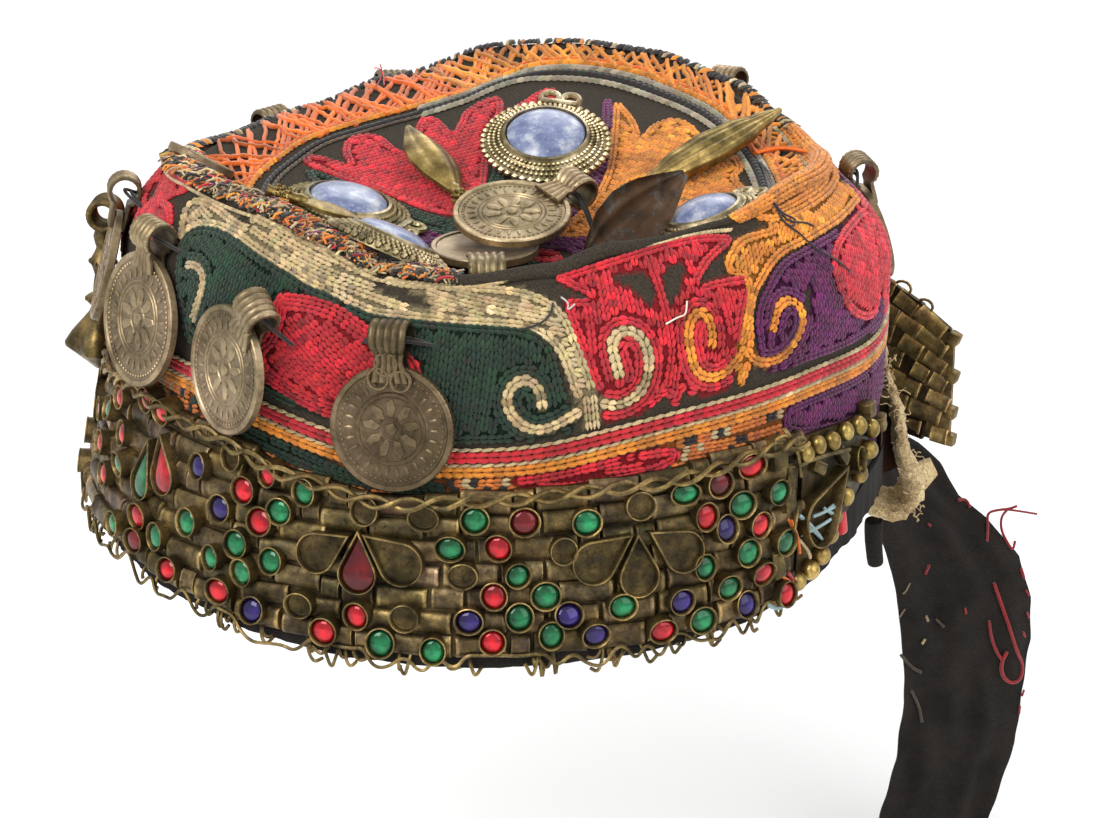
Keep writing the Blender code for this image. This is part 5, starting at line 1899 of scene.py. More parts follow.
def lay_links(heap, frames_at, length, rows):
    """Rows of links over a stretch of band, laid like bricks, by shares of its length and height."""
    for row in range(rows):
        share = (row + 0.5) / rows
        at = (-0.5 if row % 2 else 0.0) * LINK_LENGTH + rng.normal(0, 0.6 * MM)
        while at < length:
            wide = LINK_LENGTH * rng.choice((0.94, 0.38, 0.62, 1.0), p=(0.40, 0.26, 0.18, 0.16))
            middle = at + wide / 2
            if middle + wide * 0.3 > length:
                break
            if middle - wide * 0.3 > 0:
                frames, tall = frames_at(middle / length, share)
                frames = tilted(turned_frames(frames, rng.normal(0, 1.6)), 2.2)
                depth = 2.6 * MM * (1 + rng.normal(0, 0.1))
                frames[:, :, 3] += frames[:, :, 2] * (rng.normal(0, 0.2) * MM - depth * 0.42)
                frames = sized_frames(frames, wide - 0.55 * MM, tall / rows - 0.45 * MM, depth)
                shade = np.clip(rng.normal(0.98, 0.22), 0.5, 1.4)
                cast_tint = np.array([1.0, 1.0 + rng.normal(0, 0.04), 1.0 + abs(rng.normal(0, 0.22))])
                heap.spread(LINK, frames, shade * cast_tint, painted_light=LINK_PAINTED_LIGHT)
            at += wide


def add_setting(heap, frames, glass):
    count = len(frames)
    frames = tilted(frames, 4.5)
    round_off = rng.normal(0, 0.045, count)
    size = rng.normal(1.0, 0.04, count)
    deep = rng.normal(1.0, 0.08, count)
    frames = sized_frames(frames, size * (1 + round_off), size * (1 - round_off), deep)
    heap.spread(COLLAR, frames, painted_light=COLLAR_PAINTED_LIGHT)
    if glass != "E":
        lit = rng.uniform(0.75, 1.25, (count, 1)) * np.ones(3)
        heap.spread(GLASS, turned_frames(frames, rng.uniform(-70, 70)), lit, KEYS[glass], GLASS_PAINTED_REFLECTION)


def add_wires(heap, places, count, drop):
    """Bent ends of wire that hang below a band's lower edge, and a wire looped along it."""
    for _ in range(count):
        frame = places(rng.random())
        x, y, z, origin = (frame[:, k] for k in range(4))
        wide, low = rng.uniform(-3.4, 3.4) * MM, -drop * rng.uniform(0.35, 1.0)
        path = [origin - z * 1.2 * MM, origin + x * wide * 0.3 + y * low * 0.5 + z * rng.uniform(0, 0.8) * MM,
                origin + x * wide * 0.7 + y * low, origin + x * wide * 1.4 + y * low * rng.uniform(0.3, 0.9)]
        heap.add(tube(smooth_line(path), WIRE_THICK, 5), 1.25)
    path = []
    share = 0.004
    while share < 0.995:
        frame = places(share)
        low = rng.choice((-3.6, -0.2, -4.4, 0.4)) * MM * rng.uniform(0.7, 1.1)
        path.append(frame[:, 3] + frame[:, 1] * low + frame[:, 2] * rng.uniform(0.4, 1.4) * MM)
        share += rng.uniform(0.006, 0.012)
    heap.add(tube(smooth_line(path, rounds=3), WIRE_THICK, 5), 1.2)


def backing(angles):
    """The strip behind the links; its callers tint it dark, as painted shade in the gaps between the links.
    """
    sections = []
    for angle in angles:
        under = band_frames(angle, np.array([0.01, 0.99]), -BAND_THICK)[:, :, 3]
        over = band_frames(angle, np.array([0.99, 0.01]), -1.3 * MM)[:, :, 3]
        sections.append(np.concatenate([under, over]))
    return loft(sections)


def make_front_band():
    heap = Heap()
    length = math.radians(BAND_END - BAND_START) * BAND_RADIUS

    def places(along, share):
        angle = BAND_START + along * (BAND_END - BAND_START)
        return band_frames(angle, share), float(brow(angle, 3) - brow(angle, 2))

    # Brass tinted 0.35: painted shade in the gaps between the links.
    heap.add(backing(np.linspace(BAND_START, BAND_END, 120)), 0.35)
    lay_links(heap, places, length, LINK_ROWS)
    for glass, pixels in SETTINGS.items():
        angle, share = on_band(pixels)
        inside_band = (angle > BAND_START) & (angle < BAND_END - 1.8)
        add_setting(heap, band_frames(angle[inside_band], share[inside_band]), glass)
    link_angle = math.degrees(LINK_LENGTH / BAND_RADIUS)
    letters = "RGRBGREGRD"
    number = 0
    for repeat in (-4, -3, -2, -1):
        flower = FLOWER_ANGLE + repeat * UNIT_LINKS * link_angle
        for links, share, turn in FLOWER_TABLE:
            angle = flower + links * link_angle
            if BAND_START + 5 < angle < -82:
                frames = turned_frames(band_frames(angle, share), -turn)
                add_drop(heap, frames, DROP_LENGTH, DROP_WIDTH, "R" if turn == 0 else "G")
        for share, *spaces in ROWS_REPEATED:
            for links in spaces:
                angle = flower + links * link_angle
                number += 1
                if BAND_START + 3 < angle < -76:
                    add_setting(heap, band_frames(angle, share), letters[number % len(letters)])
    for pixel, turn, long, wide, glass in DROPS:
        angle, share = on_band([pixel])
        frames = turned_frames(band_frames(angle, share, 0.25 * MM), turn)
        add_drop(heap, frames, long * MM, wide * MM, glass)

    def edge(along):
        angle = BAND_START + along * (BAND_END - BAND_START)
        return band_frames(angle, 0.02, -0.6 * MM)[0]

    add_wires(heap, edge, 85, 6.0 * MM)
    heap.piece("link_band", SETTING_PAINTS, ["link_band_front"])


def loose_frame(distance, height):
    """A frame on the outer face of the band's straight loose end."""
    leave = wall_frames(BACK_LEAVES, 3 * MM, BAND_INSET[0] + BAND_THICK)[0]
    forward = -leave[:, 0]
    normal = np.array([leave[0, 2], leave[1, 2], 0.0])
    normal /= np.linalg.norm(normal)
    point = leave[:, 3] + forward * distance
    point[2] = height
    return np.stack([-forward, UP, normal, point], axis=-1)[None]


def make_back_band():
    heap = Heap()
    start = BAND_START + 360.0 - BACK_MEET_GAP
    round_length = math.radians(start - BACK_LEAVES) * BAND_RADIUS
    loose_length = LOOSE_SECTIONS[-1][0] * MM

    def round_places(along, share):
        angle = start - along * (start - BACK_LEAVES)
        return band_frames(angle, share), float(brow(angle, 3) - brow(angle, 2))

    def loose_height(distance, share):
        low, high = (float(between(LOOSE_SECTIONS, distance / MM, k)) * MM for k in (1, 2))
        low += float(np.interp(distance / MM, (0, 50, 66, 84), (-2.0, -3.5, -2.5, 0.5))) * MM
        return low + share * (high - low), high - low

    def loose_places(along, share):
        distance = along * loose_length
        height, tall = loose_height(distance, share)
        after, _ = loose_height(min(distance + 4 * MM, loose_length), share)
        before, _ = loose_height(max(distance - 4 * MM, 0.0), share)
        slope = math.degrees(math.atan2(after - before, 8 * MM))
        return turned_frames(loose_frame(distance, height), -slope), tall

    # Brass tinted 0.35: painted shade in the gaps between the links.
    heap.add(backing(np.linspace(start, BACK_LEAVES + 2.0, 20)), 0.35)
    lay_links(heap, round_places, round_length, LINK_ROWS)
    lay_links(heap, loose_places, loose_length, LINK_ROWS)
    plate = []
    for distance in np.linspace(0.5, 84.5, 24) * MM:
        corners = []
        for share, depth in ((0.02, -0.8), (0.98, -0.8), (0.98, -2.2), (0.02, -2.2)):
            frame = loose_frame(distance, loose_height(distance, share)[0])[0]
            corners.append(frame[:, 3] + frame[:, 2] * depth * MM)
        plate.append(corners)
    # The plate's tint is raised to 1.2: painted light, making up for the shade this side of the loose end
    # falls in.
    heap.add(loft(plate), 1.2)
    for row in range(LINK_ROWS):
        share = (row + 0.5) / LINK_ROWS
        distance = (4.0 + 3.0 * (row % 2)) * MM
        while distance < loose_length - 2 * MM:
            wide = rng.choice((5.2, 9.8, 7.0)) * MM
            frames, tall = loose_places(distance / loose_length, share)
            frames[:, :, 3] -= frames[:, :, 2] * (2.0 + rng.normal(0, 0.12)) * MM
            x, y, z, origin = axes(frames)
            back = columns(-x, y, -z, origin)
            back = tilted(turned_frames(back, rng.normal(0, 1.6)), 1.6)
            back = sized_frames(back, wide - 0.4 * MM, tall / LINK_ROWS * 0.94, 1.9 * MM)
            # The links seen from behind get a tint far above 1: painted light, making up for the shade this
            # side of the loose end falls in.
            heap.spread(LINK, back, np.clip(rng.normal(2.7, 0.3), 2.0, 3.3), painted_light=LINK_PAINTED_LIGHT)
            distance += wide
    for column in range(5):
        for row in (1 + column % 2, 4 - column % 2):
            frames = band_frames(start - 8.0 - column * 10.0, (row + 0.5) / 6)
            add_setting(heap, frames, "RGB"[(column + row) % 3])
    for column in range(3):
        add_setting(heap, loose_frame((16 + column * 18) * MM, (22 - column * 2) * MM), "GRE"[column])
    knob = rounded_box((3.4 * MM, 3.4 * MM, 3.2 * MM), 0.7 * MM)
    for share in (0.06, 0.30, 0.62, 0.95):
        frames, _ = loose_places(0.99, share)
        frames[:, :, 3] -= frames[:, :, 2] * 1.0 * MM
        heap.spread(knob, frames, 1.3)
    for distance in np.arange(4, 76, 6.5) * MM:
        frame = loose_frame(distance, loose_height(distance, 1.0)[0])[0]
        turn = np.radians(np.linspace(-30, 210, 9))
        size = rng.uniform(1.5, 3.0) * MM
        ring_path = [frame[:, 3] - frame[:, 2] * 1.5 * MM + frame[:, 0] * size * math.cos(a)
                     + frame[:, 1] * size * 0.8 * math.sin(a) for a in turn]
        heap.add(tube(ring_path, 0.45 * MM, 5), 1.5)
    heap.piece("link_band_back_links", SETTING_PAINTS, ["link_band_back"])


def make_edge_wire():
    """Two wires twisted about each other along the band's upper edge."""
    heap = Heap()
    count = 620
    angle = np.linspace(BAND_START + 1.0, BAND_END - 1.0, count)
    run = np.radians(angle) * BAND_RADIUS
    share = np.interp(angle, (-90, -45, -20, 30, 60), (0.99, 0.985, 0.965, 0.945, 0.97))
    base = band_frames(angle, share, 2.3 * MM)
    for strand in (0, math.pi):
        phase = 2 * math.pi * run / (15.0 * MM) + strand
        up = 1.25 * MM * np.sin(phase) + 0.25 * MM * np.sin(run / (9 * MM))
        out = 0.62 * MM * np.cos(phase)
        path = base[:, :, 3] + base[:, :, 1] * up[:, None] + base[:, :, 2] * out[:, None]
        heap.add(tube(path, 0.58 * MM, 6), 1.35)
    heap.piece("edge_chain", [PAINT["brass"]], ["edge_wire"])


def outer_frames(pixels, reach, lift):
    """Frames at a lift off the wall where pixels meet it when moved out by reach, both in millimetres."""
    hit, _ = first_hit(pixels, lambda p: over_wall(p, reach * MM))
    angle, _ = wall_polar(hit)
    return wall_frames(angle, hit[:, 2], lift * MM)


# Places on the clasp, as pixels of the picture
CLASP_DROP = (826, 507)
CLASP_COLLAR = (859, 462)
CLASP_SCRAP = (846, 524)
CLASP_WIRES = (
    ((786, 430), (796, 445), (801, 462), (803, 480)),
    ((800, 470), (815, 462), (838, 455), (852, 452)),
    ((776, 442), (784, 436), (792, 438), (790, 446)),
    ((800, 508), (797, 530), (792, 552)),
)
CLASP_BALLS = (
    (809, 457), (822, 448), (836, 444), (850, 434), (863, 428), (876, 431), (873, 452), (864, 476),
    (850, 499), (833, 537), (825, 558), (814, 573), (801, 584),
)
CLASP_BARRELS = (
    # pixel of the middle, width, height and depth in millimetres, turn in degrees
    ((779, 456), 4.6, 8.0, 4.4, 0), ((790, 500), 3.8, 7.0, 3.4, 4), ((778, 566), 4.0, 7.6, 3.8, 6),
    ((872, 411), 4.2, 4.2, 3.6, 0), ((884, 424), 3.4, 4.4, 3.4, 10), ((845, 456), 3.2, 6.6, 2.6, 40),
    ((792, 478), 3.0, 6.2, 3.0, -10), ((822, 470), 5.2, 3.2, 2.4, -30), ((838, 516), 2.8, 5.4, 3.0, 35),
)
CLASP_THREADS = (
    ("pale", ((800, 516), (812, 530), (824, 542))),
    ("pale", ((803, 538), (818, 530), (832, 522))),
    ("pale", ((816, 520), (826, 514), (838, 508))),
    ("pale", ((770, 608), (782, 612), (790, 604))),
    ("burnt", ((792, 522), (799, 540), (803, 556))),
    ("cream", ((801, 541), (808, 552), (813, 560))),
    ("pale", ((826, 512), (838, 520), (834, 530))),
    ("red", ((789, 576), (796, 582), (792, 588))),
    ("burnt", ((783, 578), (790, 584), (796, 590))),
)


def make_clasp():
    heap = Heap()
    steps = 24
    sections = []
    for i in range(steps + 1):
        share = i / steps
        angle = CLASP_START + share * (CLASP_END - CLASP_START)
        low = float(brow(angle, 2)) + CLASP_RISE * share ** 1.6
        high = float(brow(angle, 3)) - 1.0 * MM
        outer = wall_frames(angle, np.linspace(low, high, 9), 0.5 * MM + CLASP_PLATE)[:, :, 3]
        inner = wall_frames(angle, np.array([high, low]), 1.0 * MM)[:, :, 3]
        sections.append(np.concatenate([outer, inner]))
    heap.add(loft(sections), 0.38)
    add_drop(heap, turned_frames(outer_frames([CLASP_DROP], 4, 2.0), -50.0), 21 * MM, 12 * MM, "E", 1.7)
    frames = sized_frames(outer_frames([CLASP_COLLAR], 4, 2.6), 0.75, 1.05, 1.0)
    heap.spread(COLLAR, frames, painted_light=COLLAR_PAINTED_LIGHT)
    frames = outer_frames(CLASP_BALLS, 4.5, 3.4)
    frames = sized_frames(frames, rng.uniform(0.9, 1.1, len(frames)), 1.12)
    heap.spread(ball(2.15 * MM, 3), frames, 1.25, 1)
    for pixel, wide, tall, deep, turn in CLASP_BARRELS:
        frames = turned_frames(outer_frames([pixel], 4, 2.8), turn)
        heap.spread(rounded_box((wide * MM, tall * MM, deep * MM), 1.1 * MM), frames)
        ring_line = np.array([(wide / 2 * math.cos(a), tall * 0.34, deep / 2 * math.sin(a))
                              for a in np.radians(np.arange(0, 360, 30))]) * MM
        heap.spread(tube(ring_line * (1.04, 1.0, 1.04), 0.35 * MM, 5, closed=True), frames, 1.5)
    for pixels in CLASP_WIRES:
        heap.add(tube(smooth_line(outer_frames(pixels, 5, 4.4)[:, :, 3]), 0.5 * MM, 6), 1.5)
    clasp = heap.piece("clasp", [PAINT["brass"], PAINT["gold"]], ["clasp_end"])
    threads = Heap()
    for name, pixels in CLASP_THREADS:
        points = outer_frames(pixels, 4.5, 4.0)[:, :, 3]
        tint = linear(PALE_BLUE) if name == "pale" else shaded(name, 1)[0]
        for _ in range(2):
            path = smooth_line(points + rng.normal(0, 0.25, points.shape) * MM)
            threads.add(tube(path, 0.4 * MM, 5), tint)
    scrap = rounded_box((3.4 * MM, 6.0 * MM, 2.2 * MM), 0.9 * MM)
    threads.spread(scrap, outer_frames([CLASP_SCRAP], 3, 1.6), shaded("red", 1))
    threads.threads("clasp_threads")
    return clasp


# Coins

BAIL_NARROW = (1.0, 0.86, 0.68, 0.74, 0.82, 0.9, 0.94)


def bail_narrow(i, count):
    """The share of the full width at one of the count places along a bail."""
    return BAIL_NARROW[min(i, count - 1 - i, len(BAIL_NARROW) - 1)]


def bail_shape(hang):
    """A ridged strip bent round the bail's axis (X), its two ends on the coin's faces."""
    across = np.linspace(-1, 1, 25)
    ridge = 0.5 * MM * np.abs(np.cos(across * math.pi * 2.5))
    radius = BAIL_RADIUS - 0.8 * MM
    neck = [(-BAIL_RADIUS - hang - BAIL_FOOT, 1.35 * MM), (-BAIL_RADIUS - hang - BAIL_FOOT * 0.4, 1.5 * MM),
            (-BAIL_RADIUS - hang * 0.5, 1.6 * MM)]
    path = list(neck)
    for degrees in np.linspace(-62, 242, 17):
        a = math.radians(degrees)
        path.append((radius * math.sin(a), radius * math.cos(a)))
    path = np.array(path + [(y, -z) for y, z in reversed(neck)])
    ahead = np.gradient(path, axis=0)
    ahead /= np.linalg.norm(ahead, axis=1, keepdims=True)
    outward = np.stack([-ahead[:, 1], ahead[:, 0]], axis=-1)
    if outward[len(path) // 2, 0] < 0:
        outward = -outward
    sections = []
    for i, (y, z) in enumerate(path):
        half = BAIL_WIDTH / 2 * bail_narrow(i, len(path))
        outer = [(x * half, y + outward[i, 0] * (0.3 * MM + r), z + outward[i, 1] * (0.3 * MM + r))
                 for x, r in zip(across, ridge)]
        inner = [(x * half, y - outward[i, 0] * 0.35 * MM, z - outward[i, 1] * 0.35 * MM)
                 for x in (1, 0.33, -0.33, -1)]
        sections.append(outer + inner)
    # Painted highlight on the tops of the ridges, painted shade between them and on the bail's inner face.
    painted_light = np.tile(np.concatenate([0.55 + 0.62 * ridge / ridge.max(), np.full(4, 0.5)]), len(sections))
    return loft(sections), path, outward, painted_light


def rosette(radius, petals, height):
    """Low petals round a boss, on a coin's face."""
    shapes = []
    for i in range(petals):
        petal = scaled(ball(1.0, 1), (radius * 0.10, radius * 0.20, height))
        petal = shifted(petal, (0, radius * 0.38, 0))
        shapes.append(spun(petal, 360.0 * i / petals, "Z"))
    shapes.append(scaled(ball(1.0, 1), (radius * 0.13, radius * 0.13, height * 1.2)))
    return joined(*shapes)


def coin_shape(diameter, hang, petals, plain=False):
    radius = diameter / 2 * MM
    half = COIN_THICK / 2
    teeth = 2 * int(math.pi * diameter / 1.1)
    a = np.arange(teeth) * 2 * math.pi / teeth
    reed = np.where(np.arange(teeth) % 2, 0.0, -0.16 * MM)

    def loop(r, z, toothed=0.0):
        reach = r + reed * toothed
        return np.stack([reach * np.cos(a), reach * np.sin(a), np.full(teeth, z)], axis=-1)

    face = half - 0.35 * MM
    edge = ((radius * 0.3, face), (radius - 1.5 * MM, face), (radius - 1.2 * MM, half),
            (radius - 0.3 * MM, half), (radius, half - 0.25 * MM))
    low = [loop(r, -z, float(r == radius)) for r, z in edge]
    high = [loop(r, z, float(r == radius)) for r, z in reversed(edge)]
    parts = [loft(low + high)]
    if not plain:
        face = half - 0.38 * MM
        dot = ball(0.42 * MM, 1)
        for side in (-1, 1):
            reach = radius - 2.4 * MM
            for place in ring(reach, int(2 * math.pi * reach / (1.15 * MM)), side * face):
                parts.append(shifted(dot, place))
            leaf = scaled(ball(1.0, 1), (radius * 0.034, radius * 0.085, 0.42 * MM))
            leaf = shifted(leaf, (0, radius * 0.69, 0))
            leaves = [spun(leaf, 360.0 * (i + 0.5) / COIN_RAYS, "Z") for i in range(COIN_RAYS)]
            flower = joined(rosette(radius * 0.86, petals, 0.55 * MM), *leaves)
            parts.append(shifted(flower, (0, 0, side * face)))
            for reach in (0.57, 0.50, 0.19):
                wire = turned([((reach + 0.018) * radius, 0.0), (reach * radius, 0.26 * MM),
                               ((reach - 0.018) * radius, 0.0), (reach * radius, -0.2 * MM)], 48, closed=True)
                parts.append(shifted(wire, (0, 0, side * face)))
    return shifted(joined(*parts), (0, -(radius + BAIL_RADIUS + hang), 0))


def add_bail(heap, frames, hang, tone):
    """The ribbed strip a coin hangs from, with a row of fine beads along both edges."""
    strip, path, outward, painted_light = bail_shape(hang)
    heap.spread(strip, frames, np.array(tone) * 1.05, painted_light=painted_light)
    bead = ball(0.34 * MM, 1)
    for side in (-1, 1):
        for i in range(3, len(path) - 3):
            x = side * 3.9 * bail_narrow(i, len(path))
            y, z = path[i] + outward[i] * 0.5 * MM
            heap.spread(shifted(bead, (x * MM, y, z)), frames, np.array(tone) * 1.12)


def make_coin(name, matrix, diameter, hang, petals, tone, plain=False, trefoil=False):
    heap = Heap()
    frames = as_frames(matrix)
    shape = coin_shape(diameter, hang, petals, plain)
    # Painted highlight on the coin's raised rim and relief, painted shade on its sunken field and edge; a
    # plain coin gets an even 0.95.
    raised = np.where(np.abs(shape[0][:, 2]) > COIN_THICK / 2 - 0.3 * MM, 1.10, 0.74)
    heap.spread(shape, frames, np.array(tone), painted_light=np.ones(len(raised)) * 0.95 if plain else raised)
    if name != "coin_rim":
        add_bail(heap, frames, hang, tone)
    if trefoil:
        for x, y, size in ((-2.4, -1.2, 2.3), (2.6, -1.6, 2.2), (-0.6, 2.0, 2.5)):
            top = -(BAIL_RADIUS + hang) - 1.6 * MM
            loop = ring(size * MM, 16, 2.0 * MM) + (x * MM, top + y * MM, 0.0)
            heap.spread(tube(loop, WIRE_THICK, 6, closed=True), frames, np.array(tone) * 1.2)
    heap.piece(name + "_coin", [PAINT["nickel"]], [name])


def add_tie(heap, matrix, towards):
    """Black thread through a bail, its ends sewn down on the cap."""
    frame = np.array(matrix)[:3]
    x, middle = frame[:, 0], frame[:, 3]
    for _ in range(2):
        lift = rng.normal(0, 0.5, 3) * MM
        path = [middle - x * 8.0 * MM + towards * 1.02, middle - x * 4.6 * MM + towards * 0.35 + lift,
                middle + lift,
                middle + x * 4.6 * MM + towards * 0.35 + lift, middle + x * 8.0 * MM + towards * 1.02]
        heap.add(tube(smooth_line(path), WIRE_THICK, 6), shaded("black", 1)[0])


def spin(degrees, axis):
    return Matrix.Rotation(math.radians(degrees), 4, axis)


def crown_matrix(centre, heading, pitch, roll):
    return Matrix.Translation(Vector(centre) * MM) @ spin(roll, "Y") @ spin(pitch, "X") @ spin(heading, "Z")


COIN_TONE = (0.86, 0.83, 0.77)
COIN_TONES = {
    "coin_front": (0.50, 0.465, 0.42), "coin_left": (0.98, 0.94, 0.88), "coin_left_side": (0.8, 0.77, 0.7),
    "coin_front_left": (1.0, 0.97, 0.92), "coin_crown": (1.08, 1.05, 0.96),
    "coin_crown_plain": (0.9, 0.87, 0.82),
}


def make_coins():
    ties = Heap()
    for number, (name, angle, height, diameter, lean, swing, twist, standoff, hang) in enumerate(WALL_COINS):
        place = wall_frames(angle, height * MM)[0]
        x, up = Vector(place[:, 0]), Vector((0, 0, 1))
        matrix = Matrix((x, up, x.cross(up))).transposed().to_4x4()
        off_wall = place[:, 2] * (BAIL_RADIUS + GAP + standoff * MM)
        matrix.translation = Vector(place[:, 3] + off_wall)
        matrix = matrix @ spin(twist, "Y") @ spin(-swing, "Z") @ spin(lean, "X")
        add_tie(ties, matrix, -off_wall)
        petals = 8 + (number + 1) % 3
        tone = COIN_TONES.get(name, COIN_TONE)
        make_coin(name, matrix, diameter, hang * MM, petals, tone, trefoil=name == "coin_front")
    for name, x, y, z, diameter, heading, pitch, roll in CROWN_COINS:
        drop = diameter / 2 * MM + BAIL_RADIUS + CROWN_COIN_HANG
        matrix = crown_matrix((x, y, z), heading, pitch, roll) @ Matrix.Translation((0, drop, 0))
        tone = COIN_TONES.get(name, COIN_TONE)
        make_coin(name, matrix, diameter, CROWN_COIN_HANG, 9, tone, plain=name == "coin_crown_plain")
        if name != "coin_rim":
            middle = np.array(matrix.translation)
            drop = middle[2] - float(crown_height(middle[0], middle[1]))
            add_tie(ties, matrix, np.array([0.0, 0.0, -drop]))
    ties.threads("coin_ties")


# Medallions

def make_medallions():
    grain_small, grain = ball(0.55 * MM, 1), ball(0.95 * MM, 1)
    for name, x, y, z, size, heading, pitch, roll in MEDALS:
        matrix = crown_matrix((x, y, z), heading, pitch, roll) @ Matrix.Translation((0, 0, -2.0 * MM))
        frames = as_frames(matrix)
        heap = Heap()
        r, s = MEDAL_RADIUS * size, STONE_RADIUS * size
        base = turned([(s * 0.9, 0.1 * MM), (r - 0.5 * MM, 0.0), (r - 0.7 * MM, 1.2 * MM),
                       (s + 3.3 * MM, 2.0 * MM), (s + 1.6 * MM, 2.9 * MM), (s + 1.0 * MM, 4.1 * MM),
                       (s + 0.35 * MM, 4.3 * MM), (s + 0.1 * MM, 3.4 * MM), (s - 0.3 * MM, 2.4 * MM)], 48)
        heap.spread(base, frames, 0.8)
        rings = ((r - 0.55 * MM, 1.15 * MM, grain, 2.05), (s + 4.3 * MM, 2.0 * MM, grain_small, 1.25),
                 (s + 3.1 * MM, 2.5 * MM, grain_small, 1.2), (s + 1.85 * MM, 3.1 * MM, grain_small, 1.15))
        for reach, height, shape, step in rings:
            for place in ring(reach, int(2 * math.pi * reach / (step * MM)), height):
                heap.spread(shifted(shape, place), frames, 1.25)
        for side in (-1, 1):
            middle = (side * 2.6 * MM, r + 1.4 * MM, 1.2 * MM)
            loop = tube(ring(2.2 * MM, 20), 0.85 * MM, 8, closed=True)
            heap.spread(shifted(loop, middle), frames, 1.05)
        bar = rounded_box((9.4 * MM, 1.8 * MM, 1.8 * MM), 0.5 * MM)
        heap.spread(shifted(bar, (0, r - 0.6 * MM, 1.4 * MM)), frames, 0.95)
        heap.piece(name + "_setting", [PAINT["silver"]], [name])
        stone = Heap()
        dome = turned([(s - 0.2 * MM, 2.5 * MM), (s - 0.1 * MM, 3.8 * MM), (0.86 * s, 4.9 * MM),
                       (0.68 * s, 5.6 * MM), (0.42 * s, 6.05 * MM), (0.15 * s, 6.2 * MM),
                       (0.01 * s, 6.22 * MM)], 40)
        stone.spread(dome, frames)
        stone.piece(name + "_cabochon", [PAINT["lapis"]], [name + "_stone"])


# Leaf drops and the bud

LEAF_SPREAD = (
    (0.0, 0.16), (0.10, 0.42), (0.28, 0.84), (0.48, 1.0), (0.68, 0.84), (0.86, 0.46), (1.0, 0.12),
)


def leaf_shape(length, width, depth, ribs):
    """A pressed leaf with a tube at its foot: ribs 0 has one sharp crease, more ribs run its whole length."""
    tube_length = 7.0 * MM
    body = length - tube_length
    across = np.linspace(-1, 1, 25)
    sections = []
    for share in np.linspace(0, 1, 30):
        spread = float(eased(LEAF_SPREAD, share)) if ribs else float(between(LEAF_SPREAD, share))
        half = width / 2 * MM * spread
        rise = depth * MM * spread
        if ribs:
            arch = np.sqrt(np.clip(1 - across ** 2, 0, 1)) * 0.75 + 0.25 * (1 - np.abs(across))
            form = arch + 0.09 * np.cos(across * math.pi * ribs)
        else:
            form = (1 - np.abs(across)) ** 0.85 + 0.06 * np.abs(np.sin(across * math.pi * 2))
        y = tube_length + share * body
        top = np.stack([across * half, np.full(25, y), form * rise], axis=-1)
        under = top[::-1] - np.array([0, 0, LEAF_SHEET])
        sections.append(np.concatenate([top, under]))
    shell = loft(sections)
    rings = []
    for i in range(15):
        y = i / 14 * (tube_length + 2.5 * MM)
        rings.append((1.55 * MM + 0.18 * MM * math.cos(i * 1.6), y))
    stem = spun(turned(rings, 14), -90, "X")
    collar = ball(0.62 * MM, 1)
    reach = 1.9 * MM
    grains = [shifted(collar, (reach * math.cos(a), (0.16 + 0.1 * k) * tube_length * 2, reach * math.sin(a)))
              for k in range(3) for a in np.arange(8) * math.pi / 4 + 0.4 * k]
    return joined(shell, stem, *grains)


def leaf_paints():
    dull = Paint("patinated_copper", metallic=0.75, roughness=0.42)
    clouds = dull.noise(150.0, 5.0, 0.6)
    blue_patches = dull.noise(190.0, 6.0, 0.75)
    base = dull.ramp(clouds, (0.3, (0.13, 0.10, 0.075)), (0.5, (0.27, 0.19, 0.12)), (0.7, (0.18, 0.17, 0.15)))
    dull.colour(dull.mix(dull.grey(blue_patches, 0.0, 0.8, 0.52, 0.72), base, (0.34, 0.39, 0.40)))
    dull.bump(clouds, 0.3, 0.0005)
    return {"leaf_front": dull.made}


def make_leaves():
    special = leaf_paints()
    for name, *values in LEAF_DROPS:
        foot, tip = Vector(values[0:3]) * MM, Vector(values[3:6]) * MM
        width, depth, turn = values[6:9]
        forward = (tip - foot).normalized()
        side = forward.cross(Vector((0, 0, 1))).normalized()
        matrix = Matrix((side, forward, side.cross(forward))).transposed().to_4x4() @ spin(turn, "Y")
        matrix.translation = foot
        heap = Heap()
        shape = leaf_shape((tip - foot).length, width, depth, 5 if name == "leaf_right" else 0)
        heap.spread(shape, as_frames(matrix))
        heap.piece(name + "_drop", [special.get(name, PAINT["gold"])], [name], sharp=28.0)


BUD_RINGS = (
    (3.0, 1.9, 0), (4.5, 2.3, 0), (6, 2.7, 0), (7.5, 2.3, 0), (9, 1.8, 0), (10.5, 2.4, 0), (12.5, 3.3, 0),
    (14, 2.6, 0), (16, 1.9, 0), (18, 2.1, 0), (20.6, 2.2, 0), (21.3, 3.3, 0), (22.2, 3.7, 0),
    (23.2, 3.2, 0), (24, 2.4, 0), (25.5, 2.7, 0.2), (28, 4.1, 0.5), (31, 5.9, 0.65), (34.2, 7.3, 0.7),
    (35.0, 7.2, 0.7), (36.6, 5.2, 0.6), (38.4, 3.0, 0.5), (40.2, 0.8, 0.4),
)


